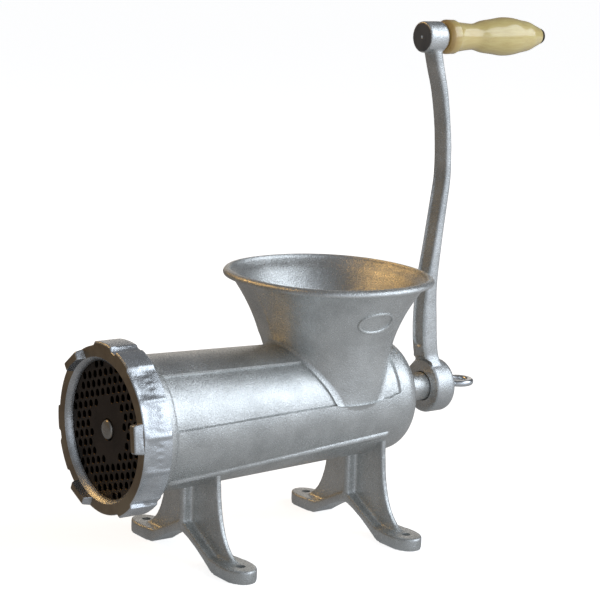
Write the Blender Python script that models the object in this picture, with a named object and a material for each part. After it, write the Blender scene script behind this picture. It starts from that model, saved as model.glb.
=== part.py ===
"""Hand crank meat grinder, bolt-down, size 32: barrel and hopper casting, auger, knife, plate, ring, crank.

Metres, +Z up. The barrel lies along Y with its mouth at -Y and the crank at +Y. The feet stand on Z = 0,
and the whole piece is centred on X = 0 and Y = 0. Stations along the barrel are measured from its mouth.
"""
from math import acos, cos, pi, radians, sin, sqrt

import bmesh
import bpy
from mathutils import Matrix, Vector

# Clearances and smoothness
MESH_GAP = 0.0003         # between pieces that touch
TURN_GAP = 0.0006         # round something that turns or slides
FACETS = 48               # sides of a large turned surface
SMALL_FACETS = 24         # sides of a small turned surface

# Barrel
AXIS_HEIGHT = 0.0949
BARREL_LENGTH = 0.2124    # mouth to the start of the rear dome
BARREL_TAPER = 0.0053     # how much smaller in radius the rear is than the front
BARREL_WALL = 0.0048
DOME_LENGTH = 0.0217
REAR_WALL = 0.0181        # thickness of the casting round the bushing
SEAT_WALL = 0.0033        # mouth wall outside the plate
COLLAR_STEP = 0.0020      # collar below the threaded mouth
COLLAR_LENGTH = 0.0068
COLLAR_SLOPE = 0.0050

# Grinding plate, knife and the seat they sit in
PLATE_R = 0.0495
PLATE_THICKNESS = 0.0095
PLATE_PROUD = 0.0030      # plate face ahead of the barrel mouth
PLATE_HOLE_R = 0.0024
PLATE_PITCH = 0.0071
PLATE_GRID_TURN = radians(17)
PLATE_BLANK_R = 0.0190    # no holes inside this radius
PLATE_RIM = 0.0052        # no holes in this band at the edge
SEAT_EXTRA = 0.0035       # seat depth behind the plate
SEAT_SHOULDER = 0.0087    # step from the plate's edge in to the bore
KEY_PIN_R = 0.0025
KEY_DEPTH = 0.0032        # how far the pin stands into the plate's edge
KNIFE_THICKNESS = 0.0090
KNIFE_HUB_R = 0.0140
KNIFE_ARM_WIDTH = 0.0120
KNIFE_TIP_GAP = 0.0015

# Ring nut
RING_LENGTH = 0.0200
RING_LIP = 0.0050
RING_HOLD = 0.0045        # how far the lip reaches over the plate
RING_FRONT_WALL = 0.0019
RING_REAR_WALL = 0.0036
RING_LAND_RISE = 0.0013
RING_LANDS = 15
RING_CHAMFER = 0.0040
RING_BEVEL = 0.0020       # broken edge of the opening
LUG_COUNT = 3
LUG_TURN = radians(7)
LUG_WIDTH = 0.0210
LUG_RISE = 0.0060
LUG_DEPTH = 0.0080        # across the lug, outwards from the opening
LUG_STEP = 0.0010         # lug set back from the opening
LUG_DRAFT = 0.0020        # how much each side leans in by the lug's top

# Hopper
HOPPER_FROM_REAR = 0.0433 # hopper's middle ahead of the rear dome's start
HOPPER_RISE = 0.0903      # rim above the barrel's axis
FLARE_RISE = 0.0143       # start of the flare above the barrel's axis
HOPPER_RIM_X = 0.0760
HOPPER_RIM_Y = 0.0680
THROAT_X = 0.0412
THROAT_Y = 0.0400
FLARE_POWER = 2.1
HOPPER_WALL = 0.0042
RIM_BEAD = 0.0016         # how far the rim's bead stands out
RIM_HEIGHT = 0.0050

# Legs
FOOT_SPAN_X = 0.1180
FRONT_LEG_Y = 0.0634
REAR_LEG_FROM_REAR = 0.0125
FOOT_HOLE_R = 0.0031
PAD_THICKNESS = 0.0088
PAD_REACH = 0.0122        # hole centre to the tip
PAD_HALF = 0.0111
FLANGE_HALF = 0.0095
FLANGE_THICKNESS = 0.0066
ARCH_HEIGHT = 0.0177
ARCH_HALF = 0.0370
WEB_THICKNESS = 0.0044
LEG_RIB = 0.0060
LEG_TUCK = 0.00083        # leg's upper corner below the barrel's skin
LEG_INSET = 0.0045        # web's lower corner in from the bolt hole

# Auger, shaft and stud
AUGER_CORE_R = 0.0165
AUGER_TIP_GAP = 0.0016
AUGER_PITCH = 0.0460
AUGER_FLIGHT = 0.0050
SHAFT_R = 0.0100
BACK_SHOULDER = 0.0115    # auger's rear shoulder outside the shaft
BUSHING_WALL = 0.0032
BUSHING_FLANGE_STEP = 0.0075  # flange outside the shaft
BUSHING_FLANGE = 0.0020
WASHER_EDGE = 0.0015      # washer outside the auger's shoulder
WASHER_THICKNESS = 0.0030
STUD_SQUARE = 0.0124
STUD_THREAD_R = 0.0075
STUD_DEPTH = 0.0220
STUD_NOSE_R = 0.0065
STUD_DOME = 0.0006
STUD_PROUD = 0.0018       # shoulder of the stud's nose ahead of the plate
DRIVE_CORNER = 0.0004     # square's corners inside the shaft

# Crank
HUB_WALL = 0.0092         # hub outside the shaft
HUB_LENGTH = 0.0179
HUB_ROUNDING = 0.0048
FACING_ROOM = 0.0006      # the hub's turned face outside its rim, cut into the arm
HUB_FROM_DOME = 0.0220    # rear dome to the hub's front face
HUB_COUNTERBORE = 0.0040
COUNTERBORE_ROOM = 0.0008
HUB_END_WALL = 0.0030
CRANK_THROW = 0.2493
BOSS_WALL = 0.0069        # boss outside the peg
BOSS_LENGTH = 0.0180
EDGE = 0.0008             # broken edge of a turned face
BOSS_FROM_HUB = -0.0134   # boss front face, measured from the hub's front face
ARM_WIDTH_LOW = 0.0156
ARM_WIDTH_HIGH = 0.0146
ARM_GROOVE_WIDTH = 0.0086
ARM_GROOVE_DEPTH = 0.0016
ARM_CORNER = 0.0015
ARM_GROOVE_FROM = 0.128   # share of the throw where the groove starts
ARM_GROOVE_TO = 0.722

# Thumb screw
SCREW_R = 0.0040
SCREW_DEPTH = 0.0140
SCREW_SHOULDER_R = 0.0065
SCREW_SHOULDER = 0.0020
EYE_R = 0.0090            # to the middle of the bar
EYE_BAR_R = 0.0026
EYE_NECK = 0.0075

# Grip and its peg
PEG_R = 0.0040
PEG_DEPTH = 0.0130        # in the boss
GRIP_LENGTH = 0.0895
GRIP_COLLAR_R = 0.0120
GRIP_WAIST_R = 0.0093
GRIP_SWELL_R = 0.01365
GRIP_NOSE_WALL = 0.0015
PEG_WASHER_EDGE = 0.0016  # washer outside the peg
PEG_WASHER = 0.0010
PEG_HEAD_EDGE = 0.0010    # head outside the peg
PEG_HEAD = 0.0018

# Stations along the barrel, from its mouth
PLATE_FACE = -PLATE_PROUD
LIP_BACK = PLATE_FACE - MESH_GAP
RING_FACE = LIP_BACK - RING_LIP
RING_BACK = RING_FACE + RING_LENGTH
PLATE_BACK = PLATE_FACE + PLATE_THICKNESS
SEAT_END = PLATE_BACK + SEAT_EXTRA
KNIFE_FRONT = PLATE_BACK + MESH_GAP
KNIFE_BACK = KNIFE_FRONT + KNIFE_THICKNESS
AUGER_FRONT = KNIFE_BACK + 3 * MESH_GAP
DOME_TIP = BARREL_LENGTH + DOME_LENGTH
BORE_END = DOME_TIP - REAR_WALL
WASHER_FRONT = BORE_END - MESH_GAP - WASHER_THICKNESS
AUGER_REAR = WASHER_FRONT - MESH_GAP
HUB_FRONT = DOME_TIP + HUB_FROM_DOME
HUB_BACK = HUB_FRONT + HUB_LENGTH
BOSS_FRONT = HUB_FRONT + BOSS_FROM_HUB
BOSS_BACK = BOSS_FRONT + BOSS_LENGTH
GRIP_FRONT = BOSS_BACK + MESH_GAP
GRIP_BACK = GRIP_FRONT + GRIP_LENGTH
PEG_END = GRIP_BACK + 2 * MESH_GAP + PEG_WASHER + PEG_HEAD
FRONT_END = RING_FACE - LUG_RISE

# Sizes that follow from the ones above
THREAD_R = PLATE_R + SEAT_WALL
COLLAR_R = THREAD_R - COLLAR_STEP
BARREL_FRONT_R = PLATE_R - SEAT_SHOULDER + BARREL_WALL
BARREL_REAR_R = BARREL_FRONT_R - BARREL_TAPER
RING_OPENING_R = PLATE_R - RING_HOLD
RING_FRONT_R = THREAD_R + RING_FRONT_WALL
RING_REAR_R = THREAD_R + RING_REAR_WALL
HOPPER_Y = BARREL_LENGTH - HOPPER_FROM_REAR
HOPPER_TOP = AXIS_HEIGHT + HOPPER_RISE
HOPPER_FLARE_FROM = AXIS_HEIGHT + FLARE_RISE
REAR_LEG_Y = BARREL_LENGTH - REAR_LEG_FROM_REAR
AUGER_BACK_R = SHAFT_R + BACK_SHOULDER
BUSHING_FLANGE_R = SHAFT_R + BUSHING_FLANGE_STEP
WASHER_R = AUGER_BACK_R + WASHER_EDGE
DRIVE_SQUARE = (SHAFT_R - DRIVE_CORNER) * sqrt(2)
HUB_R = SHAFT_R + HUB_WALL
BOSS_R = PEG_R + BOSS_WALL
GRIP_NOSE_R = PEG_R + GRIP_NOSE_WALL
PEG_WASHER_R = PEG_R + PEG_WASHER_EDGE
PEG_HEAD_R = PEG_R + PEG_HEAD_EDGE
MIDDLE = (FRONT_END + PEG_END) / 2
COLLAR_START = RING_BACK + MESH_GAP
COLLAR_END = COLLAR_START + COLLAR_LENGTH
SLOPE_END = COLLAR_END + COLLAR_SLOPE


def room(radius, facets, gap=TURN_GAP):
    """Radius of a faceted hole that a round piece of this radius turns in."""
    return (radius + gap) / cos(pi / facets)


def barrel_radius(y):
    """Outside of the tapered barrel at a station."""
    share = (y - SLOPE_END) / (BARREL_LENGTH - SLOPE_END)
    return BARREL_FRONT_R + share * (BARREL_REAR_R - BARREL_FRONT_R)


def bore_radius(y):
    """Inside of the tapered barrel at a station."""
    return barrel_radius(y) - BARREL_WALL


def material(name, colour, metallic, roughness):
    made = bpy.data.materials.new(name)
    made.use_nodes = True
    shader = made.node_tree.nodes["Principled BSDF"]
    shader.inputs["Base Color"].default_value = (*colour, 1)
    shader.inputs["Metallic"].default_value = metallic
    shader.inputs["Roughness"].default_value = roughness
    return made


def empty(name, place, parent=None):
    made = bpy.data.objects.new(name, None)
    made.location = place
    made.parent = parent
    bpy.context.collection.objects.link(made)
    return made


def piece(name, bm, finish, parent):
    """Make a bmesh into a named object with smooth turned faces and sharp corners."""
    bmesh.ops.recalc_face_normals(bm, faces=bm.faces)
    mesh = bpy.data.meshes.new(name)
    bm.to_mesh(mesh)
    bm.free()
    mesh.shade_smooth()
    mesh.set_sharp_from_angle(angle=radians(35))
    made = bpy.data.objects.new(name, mesh)
    if finish:
        mesh.materials.append(finish)
    made.parent = parent
    bpy.context.collection.objects.link(made)
    return made


def join(target, name, bm, parent):
    """Add a helper solid to the target by a Boolean union."""
    helper = guide(name, bm, parent)
    boolean(target, helper, "UNION")


def cut(target, name, bm, parent):
    """Take a helper solid away from the target."""
    helper = guide(name, bm, parent)
    boolean(target, helper, "DIFFERENCE")


def guide(name, bm, parent):
    helper = piece(name, bm, None, parent)
    helper.hide_render = True
    helper.display_type = "WIRE"
    return helper


def boolean(target, helper, operation):
    step = target.modifiers.new(helper.name, "BOOLEAN")
    step.operation = operation
    step.solver = "EXACT"
    step.object = helper


def turned(profile, facets=FACETS, closed=False):
    """Turn a profile of (station, radius) points about the Y axis."""
    bm = bmesh.new()
    verts = [bm.verts.new((radius, y, 0)) for y, radius in profile]
    following = verts[1:] + verts[:1] if closed else verts[1:]
    edges = [bm.edges.new(pair) for pair in zip(verts, following)]
    bmesh.ops.spin(bm, geom=verts + edges, cent=(0, 0, 0), axis=(0, 1, 0),
                   angle=2 * pi, steps=facets, use_merge=True)
    bmesh.ops.remove_doubles(bm, verts=bm.verts, dist=1e-6)
    return bm


def rod(start, end, radius, facets=SMALL_FACETS):
    return turned([(start, 0), (start, radius), (end, radius), (end, 0)], facets)


def square_bar(start, end, side):
    bm = bmesh.new()
    bmesh.ops.create_cube(bm, size=1)
    bmesh.ops.scale(bm, vec=(side, end - start, side), verts=bm.verts)
    bmesh.ops.translate(bm, vec=(0, (start + end) / 2, 0), verts=bm.verts)
    return bm


def prism(outline, low, high, along):
    """Extrude a closed outline. Along Y the outline is (x, z); along Z it is (x, y)."""
    bm = bmesh.new()
    if along == "Y":
        face = bm.faces.new([bm.verts.new((a, low, b)) for a, b in outline])
        step = (0, high - low, 0)
    else:
        face = bm.faces.new([bm.verts.new((a, b, low)) for a, b in outline])
        step = (0, 0, high - low)
    grown = bmesh.ops.extrude_face_region(bm, geom=[face])["geom"]
    moved = [v for v in grown if isinstance(v, bmesh.types.BMVert)]
    bmesh.ops.translate(bm, vec=step, verts=moved)
    return bm


def lofted(rings):
    """Join rings of the same number of points, and cap both ends."""
    bm = bmesh.new()
    rows = [[bm.verts.new(point) for point in ring] for ring in rings]
    for row, above in zip(rows, rows[1:]):
        for i in range(len(row)):
            j = (i + 1) % len(row)
            bm.faces.new((row[i], row[j], above[j], above[i]))
    bm.faces.new(rows[0])
    bm.faces.new(rows[-1])
    return bm


def mirrored(points):
    """Close an outline with its own mirror image across X = 0."""
    return points + [(-x, z) for x, z in reversed(points) if x > 1e-9]


def oval(half_x, half_y, z, power=2.15, count=40):
    ring = []
    for i in range(count):
        angle = 2 * pi * i / count
        c, s = cos(angle), sin(angle)
        x = half_x * abs(c) ** (2 / power) * (1 if c > 0 else -1)
        y = half_y * abs(s) ** (2 / power) * (1 if s > 0 else -1)
        ring.append((x, HOPPER_Y + y, z))
    return ring


def flare(z, rim, throat):
    """Half width of the hopper at a height, from its throat to its rim."""
    share = max(0, (z - HOPPER_FLARE_FROM) / (HOPPER_TOP - HOPPER_FLARE_FROM))
    return throat + (rim - throat) * share ** FLARE_POWER


def hopper_rings(bottom, inset, heights):
    """Rings of the hopper's outside, or of its cavity when they are set in by the wall."""
    rings = [oval(THROAT_X - inset, THROAT_Y - inset, bottom)]
    for z in heights:
        half_x = flare(z, HOPPER_RIM_X - RIM_BEAD, THROAT_X)
        half_y = flare(z, HOPPER_RIM_Y - RIM_BEAD, THROAT_Y)
        rings.append(oval(half_x - inset, half_y - inset, z))
    return rings


def rim_ring():
    """The rounded bead round the hopper's mouth."""
    rings = []
    for z, out in ((HOPPER_TOP - RIM_HEIGHT, 0), (HOPPER_TOP - 0.7 * RIM_HEIGHT, RIM_BEAD),
                   (HOPPER_TOP - 0.3 * RIM_HEIGHT, RIM_BEAD), (HOPPER_TOP, 0.1 * RIM_BEAD)):
        rings.append(oval(HOPPER_RIM_X - RIM_BEAD + out, HOPPER_RIM_Y - RIM_BEAD + out, z))
    return lofted(rings)


def dome_profile():
    points = []
    flat_r = BUSHING_FLANGE_R + MESH_GAP
    for i in range(6):
        angle = i / 6 * acos(flat_r / BARREL_REAR_R)
        points.append((BARREL_LENGTH + DOME_LENGTH * sin(angle), BARREL_REAR_R * cos(angle)))
    return points + [(DOME_TIP, flat_r), (DOME_TIP, 0)]


def make_housing(finish, axis, datum):
    """The casting: barrel, hopper and two pairs of legs in one piece."""
    outside = [(0, 0), (0, THREAD_R), (COLLAR_START, THREAD_R), (COLLAR_START, COLLAR_R),
               (COLLAR_END, COLLAR_R), (SLOPE_END, BARREL_FRONT_R)]
    housing = piece("housing", turned(outside + dome_profile()), finish, axis)

    levels = [HOPPER_FLARE_FROM + (HOPPER_TOP - HOPPER_FLARE_FROM) * k / 8 for k in range(9)]
    join(housing, "hopper_outside", lofted(hopper_rings(AXIS_HEIGHT, 0, levels)), datum)
    join(housing, "hopper_bead", rim_ring(), datum)
    for leg_y in (FRONT_LEG_Y, REAR_LEG_Y):
        for name, bm in leg_solids(leg_y):
            join(housing, name, bm, datum)

    seat_r = room(PLATE_R, FACETS, MESH_GAP)
    bore = [(-PLATE_R, 0), (-PLATE_R, seat_r), (SEAT_END, seat_r), (SEAT_END, bore_radius(SEAT_END)),
            (BORE_END, bore_radius(BORE_END)), (BORE_END, 0)]
    cut(housing, "barrel_bore", turned(bore), axis)
    bushing_hole = room(SHAFT_R, SMALL_FACETS) + BUSHING_WALL + 2 * MESH_GAP
    cut(housing, "bushing_hole", rod(BORE_END - REAR_WALL, DOME_TIP + REAR_WALL, bushing_hole), axis)
    above = levels + [HOPPER_TOP + RIM_HEIGHT]
    throat_bottom = AXIS_HEIGHT + BARREL_WALL
    cut(housing, "hopper_cavity", lofted(hopper_rings(throat_bottom, HOPPER_WALL, above)), datum)
    cut(housing, "key_pin_hole", key_pin_solid(KEY_PIN_R + MESH_GAP, PLATE_R - KEY_DEPTH - MESH_GAP,
                                               THREAD_R + MESH_GAP), axis)
    for side in (-1, 1):
        for leg_y in (FRONT_LEG_Y, REAR_LEG_Y):
            hole = rod(-PAD_THICKNESS, 2 * PAD_THICKNESS, FOOT_HOLE_R, 16)
            bmesh.ops.rotate(hole, cent=(0, 0, 0), matrix=Matrix.Rotation(pi / 2, 3, "X"), verts=hole.verts)
            bmesh.ops.translate(hole, vec=(side * FOOT_SPAN_X / 2, leg_y, 0), verts=hole.verts)
            cut(housing, "foot_hole", hole, datum)
    return housing


def leg_solids(leg_y):
    """Web, flange, middle rib and two pads of one pair of legs."""
    foot_x = FOOT_SPAN_X / 2
    drop_to_top = 0.6 * BARREL_REAR_R
    top = AXIS_HEIGHT - drop_to_top
    top_half = sqrt((BARREL_REAR_R - LEG_TUCK) ** 2 - drop_to_top ** 2)
    web = []
    for k in range(9):
        share = k / 8
        drop = 1 - (1 - share) ** 2
        x = top_half + (foot_x - LEG_INSET - top_half) * share ** 2.2
        z = top + (PAD_THICKNESS - top) * (0.35 * share + 0.65 * drop)
        web.append((x, z))
    web.append((foot_x - LEG_INSET, PAD_THICKNESS / 2))
    web.append((ARCH_HALF, PAD_THICKNESS / 2))
    web.append((0, ARCH_HEIGHT + FLANGE_THICKNESS / 2))
    half = WEB_THICKNESS / 2
    yield "leg_web", prism(mirrored(web), leg_y - half, leg_y + half, "Y")

    under = []
    for k in range(7):
        share = k / 6
        under.append((ARCH_HALF * share, ARCH_HEIGHT * (1 - share ** 1.35)))
    over = [(foot_x, 0), (foot_x, PAD_THICKNESS), (ARCH_HALF - 0.002, PAD_THICKNESS),
            (0, ARCH_HEIGHT + FLANGE_THICKNESS + 0.0015)]
    strap = under + over
    outline = [(0, ARCH_HEIGHT)] + strap[1:] + [(-x, z) for x, z in reversed(strap[1:-1])]
    yield "leg_flange", prism(outline, leg_y - FLANGE_HALF, leg_y + FLANGE_HALF, "Y")

    rib_half = LEG_RIB / 2
    bottom = ARCH_HEIGHT + FLANGE_THICKNESS / 2
    rib = [(-rib_half, bottom), (rib_half, bottom), (rib_half, top), (-rib_half, top)]
    yield "leg_rib", prism(rib, leg_y - FLANGE_HALF, leg_y + FLANGE_HALF, "Y")

    for side in (-1, 1):
        yield "leg_pad", prism(pad_outline(side, leg_y), 0, PAD_THICKNESS, "Z")


def pad_outline(side, leg_y):
    """A tongue with a rounded tip, seen from above."""
    foot_x = FOOT_SPAN_X / 2
    middle = foot_x - PAD_REACH / 3
    points = [(ARCH_HALF, leg_y - FLANGE_HALF), (middle - PAD_REACH / 2, leg_y - PAD_HALF)]
    for k in range(9):
        angle = radians(-90 + 22.5 * k)
        points.append((middle + PAD_REACH * 4 / 3 * cos(angle), leg_y + PAD_HALF * sin(angle)))
    points += [(middle - PAD_REACH / 2, leg_y + PAD_HALF), (ARCH_HALF, leg_y + FLANGE_HALF)]
    return [(side * x, y) for x, y in points]


def key_pin_solid(radius, inner, outer):
    """A short round pin across the seat's wall, at the bottom of the barrel's mouth."""
    bm = rod(inner, outer, radius, 16)
    bmesh.ops.rotate(bm, cent=(0, 0, 0), matrix=Matrix.Rotation(-pi / 2, 3, "X"), verts=bm.verts)
    middle = (PLATE_FACE + PLATE_BACK) / 2 + PLATE_PROUD / 2
    bmesh.ops.translate(bm, vec=(0, middle, 0), verts=bm.verts)
    return bm


def make_key_pin(finish, axis):
    inner = PLATE_R - KEY_DEPTH
    piece("plate_key_pin", key_pin_solid(KEY_PIN_R, inner, THREAD_R - MESH_GAP), finish, axis)


def make_bushing(finish, axis):
    """A flanged sleeve in the rear wall that the shaft turns in."""
    inner = room(SHAFT_R, SMALL_FACETS)
    outer = inner + BUSHING_WALL
    start = BORE_END + MESH_GAP
    face = DOME_TIP + MESH_GAP
    back = face + BUSHING_FLANGE
    profile = [(start, inner), (start, outer), (face, outer), (face, BUSHING_FLANGE_R),
               (back, BUSHING_FLANGE_R), (back, inner)]
    piece("rear_bushing", turned(profile, SMALL_FACETS, closed=True), finish, axis)


def make_thrust_washer(finish, axis):
    inner = room(SHAFT_R, SMALL_FACETS)
    back = WASHER_FRONT + WASHER_THICKNESS
    profile = [(WASHER_FRONT, inner), (WASHER_FRONT, WASHER_R), (back, WASHER_R), (back, inner)]
    piece("thrust_washer", turned(profile, SMALL_FACETS, closed=True), finish, axis)


def flight_solid():
    """The auger's core with its left-hand flight, whose tip follows the tapered bore."""
    bm = bmesh.new()
    per_turn = 28
    start = AUGER_FRONT - AUGER_PITCH
    turns = (AUGER_REAR - AUGER_FRONT) / AUGER_PITCH + 2
    base = AUGER_PITCH - 3 * AUGER_FLIGHT
    offsets = ((0, 0), (base, 0), (base + 0.8 * AUGER_FLIGHT, 1), (base + 1.8 * AUGER_FLIGHT, 1),
               (AUGER_PITCH, 0))
    rows = []
    for k in range(int(turns * per_turn)):
        angle = -2 * pi * k / per_turn
        row = []
        for offset, high in offsets:
            y = start + AUGER_PITCH * k / per_turn + offset
            inside = bore_radius(min(max(y, SEAT_END), BORE_END))
            radius = inside - AUGER_TIP_GAP if high else AUGER_CORE_R
            row.append(bm.verts.new((radius * sin(angle), y, radius * cos(angle))))
        rows.append(row)
    for row, after in zip(rows, rows[1:]):
        for i in range(len(offsets) - 1):
            bm.faces.new((row[i], row[i + 1], after[i + 1], after[i]))
    bmesh.ops.remove_doubles(bm, verts=bm.verts, dist=1e-6)
    for y, away in ((AUGER_FRONT, -1), (AUGER_REAR - 0.004, 1)):
        everything = bm.verts[:] + bm.edges[:] + bm.faces[:]
        bmesh.ops.bisect_plane(bm, geom=everything, plane_co=(0, y, 0), plane_no=(0, away, 0), clear_outer=True)
        rim = [e for e in bm.edges if e.is_boundary and all(abs(v.co.y - y) < 1e-6 for v in e.verts)]
        bmesh.ops.triangle_fill(bm, edges=rim, use_beauty=True)
    return bm


def make_auger(finish, axis):
    """Flighted core, rear shoulder, round journal and square drive end in one casting."""
    auger = piece("auger", flight_solid(), finish, axis)
    socket_start = HUB_FRONT + HUB_COUNTERBORE
    journal = [(AUGER_REAR - 0.012, 0), (AUGER_REAR - 0.012, AUGER_CORE_R * 0.8),
               (AUGER_REAR - 0.008, AUGER_BACK_R),
               (AUGER_REAR, AUGER_BACK_R), (AUGER_REAR, SHAFT_R), (socket_start - MESH_GAP, SHAFT_R),
               (socket_start - MESH_GAP, 0)]
    join(auger, "auger_journal", turned(journal, SMALL_FACETS), axis)
    drive_end = HUB_BACK - HUB_END_WALL - 2 * MESH_GAP
    join(auger, "drive_square", square_bar(socket_start - 0.004, drive_end, DRIVE_SQUARE), axis)
    screw_hole = rod(drive_end - SCREW_DEPTH, drive_end + 0.01, SCREW_R + MESH_GAP, 16)
    cut(auger, "screw_thread_hole", screw_hole, axis)
    stud_hole = rod(AUGER_FRONT - 0.01, AUGER_FRONT + STUD_DEPTH, STUD_THREAD_R + MESH_GAP, 16)
    cut(auger, "stud_hole", stud_hole, axis)
    return auger


def make_stud(finish, axis):
    """The steel stud in the auger's front: thread, square for the knife and round nose in the plate."""
    nose = PLATE_FACE - STUD_PROUD
    neck = STUD_SQUARE / 2 - MESH_GAP
    thread_end = AUGER_FRONT + STUD_DEPTH - 2 * MESH_GAP
    square = square_bar(KNIFE_FRONT + MESH_GAP, KNIFE_BACK + 2 * MESH_GAP, STUD_SQUARE)
    stud = piece("auger_stud", square, finish, axis)
    join(stud, "stud_thread", rod(KNIFE_BACK + MESH_GAP, thread_end, STUD_THREAD_R, 16), axis)
    tip = [(nose - STUD_DOME, 0), (nose, STUD_NOSE_R * 0.8), (nose + 0.0008, STUD_NOSE_R),
           (PLATE_BACK, STUD_NOSE_R), (PLATE_BACK, neck), (KNIFE_FRONT + 0.002, neck), (KNIFE_FRONT + 0.002, 0)]
    join(stud, "stud_nose", turned(tip, SMALL_FACETS), axis)


def make_knife(finish, axis):
    """A four-armed knife on the stud's square, just behind the plate."""
    reach = bore_radius(KNIFE_BACK) - KNIFE_TIP_GAP
    outline = []
    half = KNIFE_ARM_WIDTH / 2
    for arm in range(4):
        turn = Matrix.Rotation(arm * pi / 2, 2)
        sweep = Vector((0.25, 0)) * half
        for corner in (Vector((half, KNIFE_HUB_R)), Vector((half * 1.25, reach)) - sweep,
                       Vector((-half * 0.6, reach)) - sweep, Vector((-half, KNIFE_HUB_R))):
            if corner.length > reach:
                corner = corner.normalized() * reach
            point = turn @ corner
            outline.append((point.x, point.y))
    knife = piece("cross_knife", prism(outline, KNIFE_FRONT, KNIFE_BACK, "Y"), finish, axis)
    hole = square_bar(KNIFE_FRONT - 0.01, KNIFE_BACK + 0.01, STUD_SQUARE + 2 * MESH_GAP)
    cut(knife, "knife_square", hole, axis)


def plate_holes():
    """Centres of the plate's holes: a turned triangular grid, clear of the middle and the rim."""
    centres = []
    reach = PLATE_R - PLATE_RIM
    notch = Vector((0, -PLATE_R))
    for row in range(-8, 9):
        for column in range(-9, 10):
            x = (column + (row % 2) / 2) * PLATE_PITCH
            z = row * PLATE_PITCH * sqrt(3) / 2
            centre = Matrix.Rotation(PLATE_GRID_TURN, 2) @ Vector((x, z))
            clear = (centre - notch).length > KEY_DEPTH + 3 * PLATE_HOLE_R
            if PLATE_BLANK_R < centre.length < reach and clear:
                centres.append(centre)
    return centres


def ring_edges(bm, points):
    verts = [bm.verts.new(point) for point in points]
    return [bm.edges.new(pair) for pair in zip(verts, verts[1:] + verts[:1])]


def make_plate(finish, axis):
    """The round plate with its grid of holes, a hole for the stud and a notch for the key pin."""
    bm = bmesh.new()
    half = KEY_PIN_R + TURN_GAP
    floor = PLATE_R - KEY_DEPTH - TURN_GAP
    lip = sqrt(PLATE_R ** 2 - half ** 2)
    rim = [(half, PLATE_FACE, -floor), (half, PLATE_FACE, -lip)]
    for i in range(FACETS):
        angle = -pi / 2 + 2 * pi * (i + 0.5) / FACETS
        if abs(cos(angle)) * PLATE_R > half or sin(angle) > 0:
            rim.append((PLATE_R * cos(angle), PLATE_FACE, PLATE_R * sin(angle)))
    rim += [(-half, PLATE_FACE, -lip), (-half, PLATE_FACE, -floor)]
    edges = ring_edges(bm, rim)
    stud_hole = room(STUD_NOSE_R, SMALL_FACETS)
    edges += ring_edges(bm, circle(Vector((0, 0)), stud_hole, SMALL_FACETS))
    for centre in plate_holes():
        edges += ring_edges(bm, circle(centre, PLATE_HOLE_R, 8))
    bmesh.ops.triangle_fill(bm, edges=edges, use_beauty=True)
    grown = bmesh.ops.extrude_face_region(bm, geom=bm.faces[:])["geom"]
    moved = [v for v in grown if isinstance(v, bmesh.types.BMVert)]
    bmesh.ops.translate(bm, vec=(0, PLATE_THICKNESS, 0), verts=moved)
    piece("grinding_plate", bm, finish, axis)


def circle(centre, radius, sides):
    points = []
    for i in range(sides):
        angle = 2 * pi * i / sides
        points.append((centre.x + radius * cos(angle), PLATE_FACE, centre.y + radius * sin(angle)))
    return points


def ring_row(y, radius, rise):
    """One station of the ring's outside: lands raised between shallow dips."""
    points = []
    step = 2 * pi / RING_LANDS
    for i in range(RING_LANDS):
        for share, high in ((0.08, 1), (0.38, 1), (0.46, 0), (0.70, 0), (1.0, 0)):
            angle = (i + share) * step
            r = radius + rise * high
            points.append((r * cos(angle), y, r * sin(angle)))
    return points


def make_ring_nut(finish, axis):
    """The screwed ring that holds the plate, with lands to grip and three lugs on its face."""
    behind_chamfer = RING_REAR_R - 0.0015
    rows = [ring_row(RING_FACE, RING_FRONT_R, 0),
            ring_row(RING_FACE + RING_CHAMFER, behind_chamfer, RING_LAND_RISE),
            ring_row(RING_BACK, RING_REAR_R, RING_LAND_RISE)]
    ring = piece("ring_nut", lofted(rows), finish, axis)
    for k in range(LUG_COUNT):
        turn = Matrix.Rotation(-(LUG_TURN + 2 * pi * k / LUG_COUNT), 3, "Y")
        inner = RING_OPENING_R + LUG_STEP
        outer = inner + LUG_DEPTH
        half = LUG_WIDTH / 2
        foot = RING_FACE + 0.002
        rings = []
        for y, draw in ((foot, 0), (RING_FACE - 0.8 * LUG_RISE, 0.35 * LUG_DRAFT), (FRONT_END, LUG_DRAFT)):
            low, high, side = inner + draw, outer - draw, half - draw
            rings.append([(low, y, -side), (high, y, -side), (high, y, side), (low, y, side)])
        bm = lofted(rings)
        bmesh.ops.rotate(bm, cent=(0, 0, 0), matrix=turn, verts=bm.verts)
        join(ring, "ring_lug", bm, axis)
    inside = room(THREAD_R, FACETS)
    past = RING_LENGTH / 2
    wide = RING_OPENING_R + RING_BEVEL
    bore = [(FRONT_END - past, 0), (FRONT_END - past, wide), (RING_FACE, wide),
            (RING_FACE + RING_BEVEL, RING_OPENING_R), (LIP_BACK, RING_OPENING_R), (LIP_BACK, inside),
            (RING_BACK + past, inside), (RING_BACK + past, 0)]
    cut(ring, "ring_bore", turned(bore), axis)


ARM_LINE = (
    # share of the throw, then the middle behind the hub's front face and the thickness
    (0.048, 0.0054, 0.0130),
    (0.120, 0.0019, 0.0135),
    (0.201, 0.0005, 0.0130),
    (0.297, 0.0006, 0.0105),
    (0.417, 0.0043, 0.0083),
    (0.538, 0.0084, 0.0071),
    (0.606, 0.0104, 0.0062),
    (0.678, 0.0102, 0.0058),
    (0.758, 0.0084, 0.0052),
    (0.846, 0.0048, 0.0060),
    (0.911, 0.0004, 0.0071),
    (0.967, -0.0031, 0.0080),
)


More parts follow.
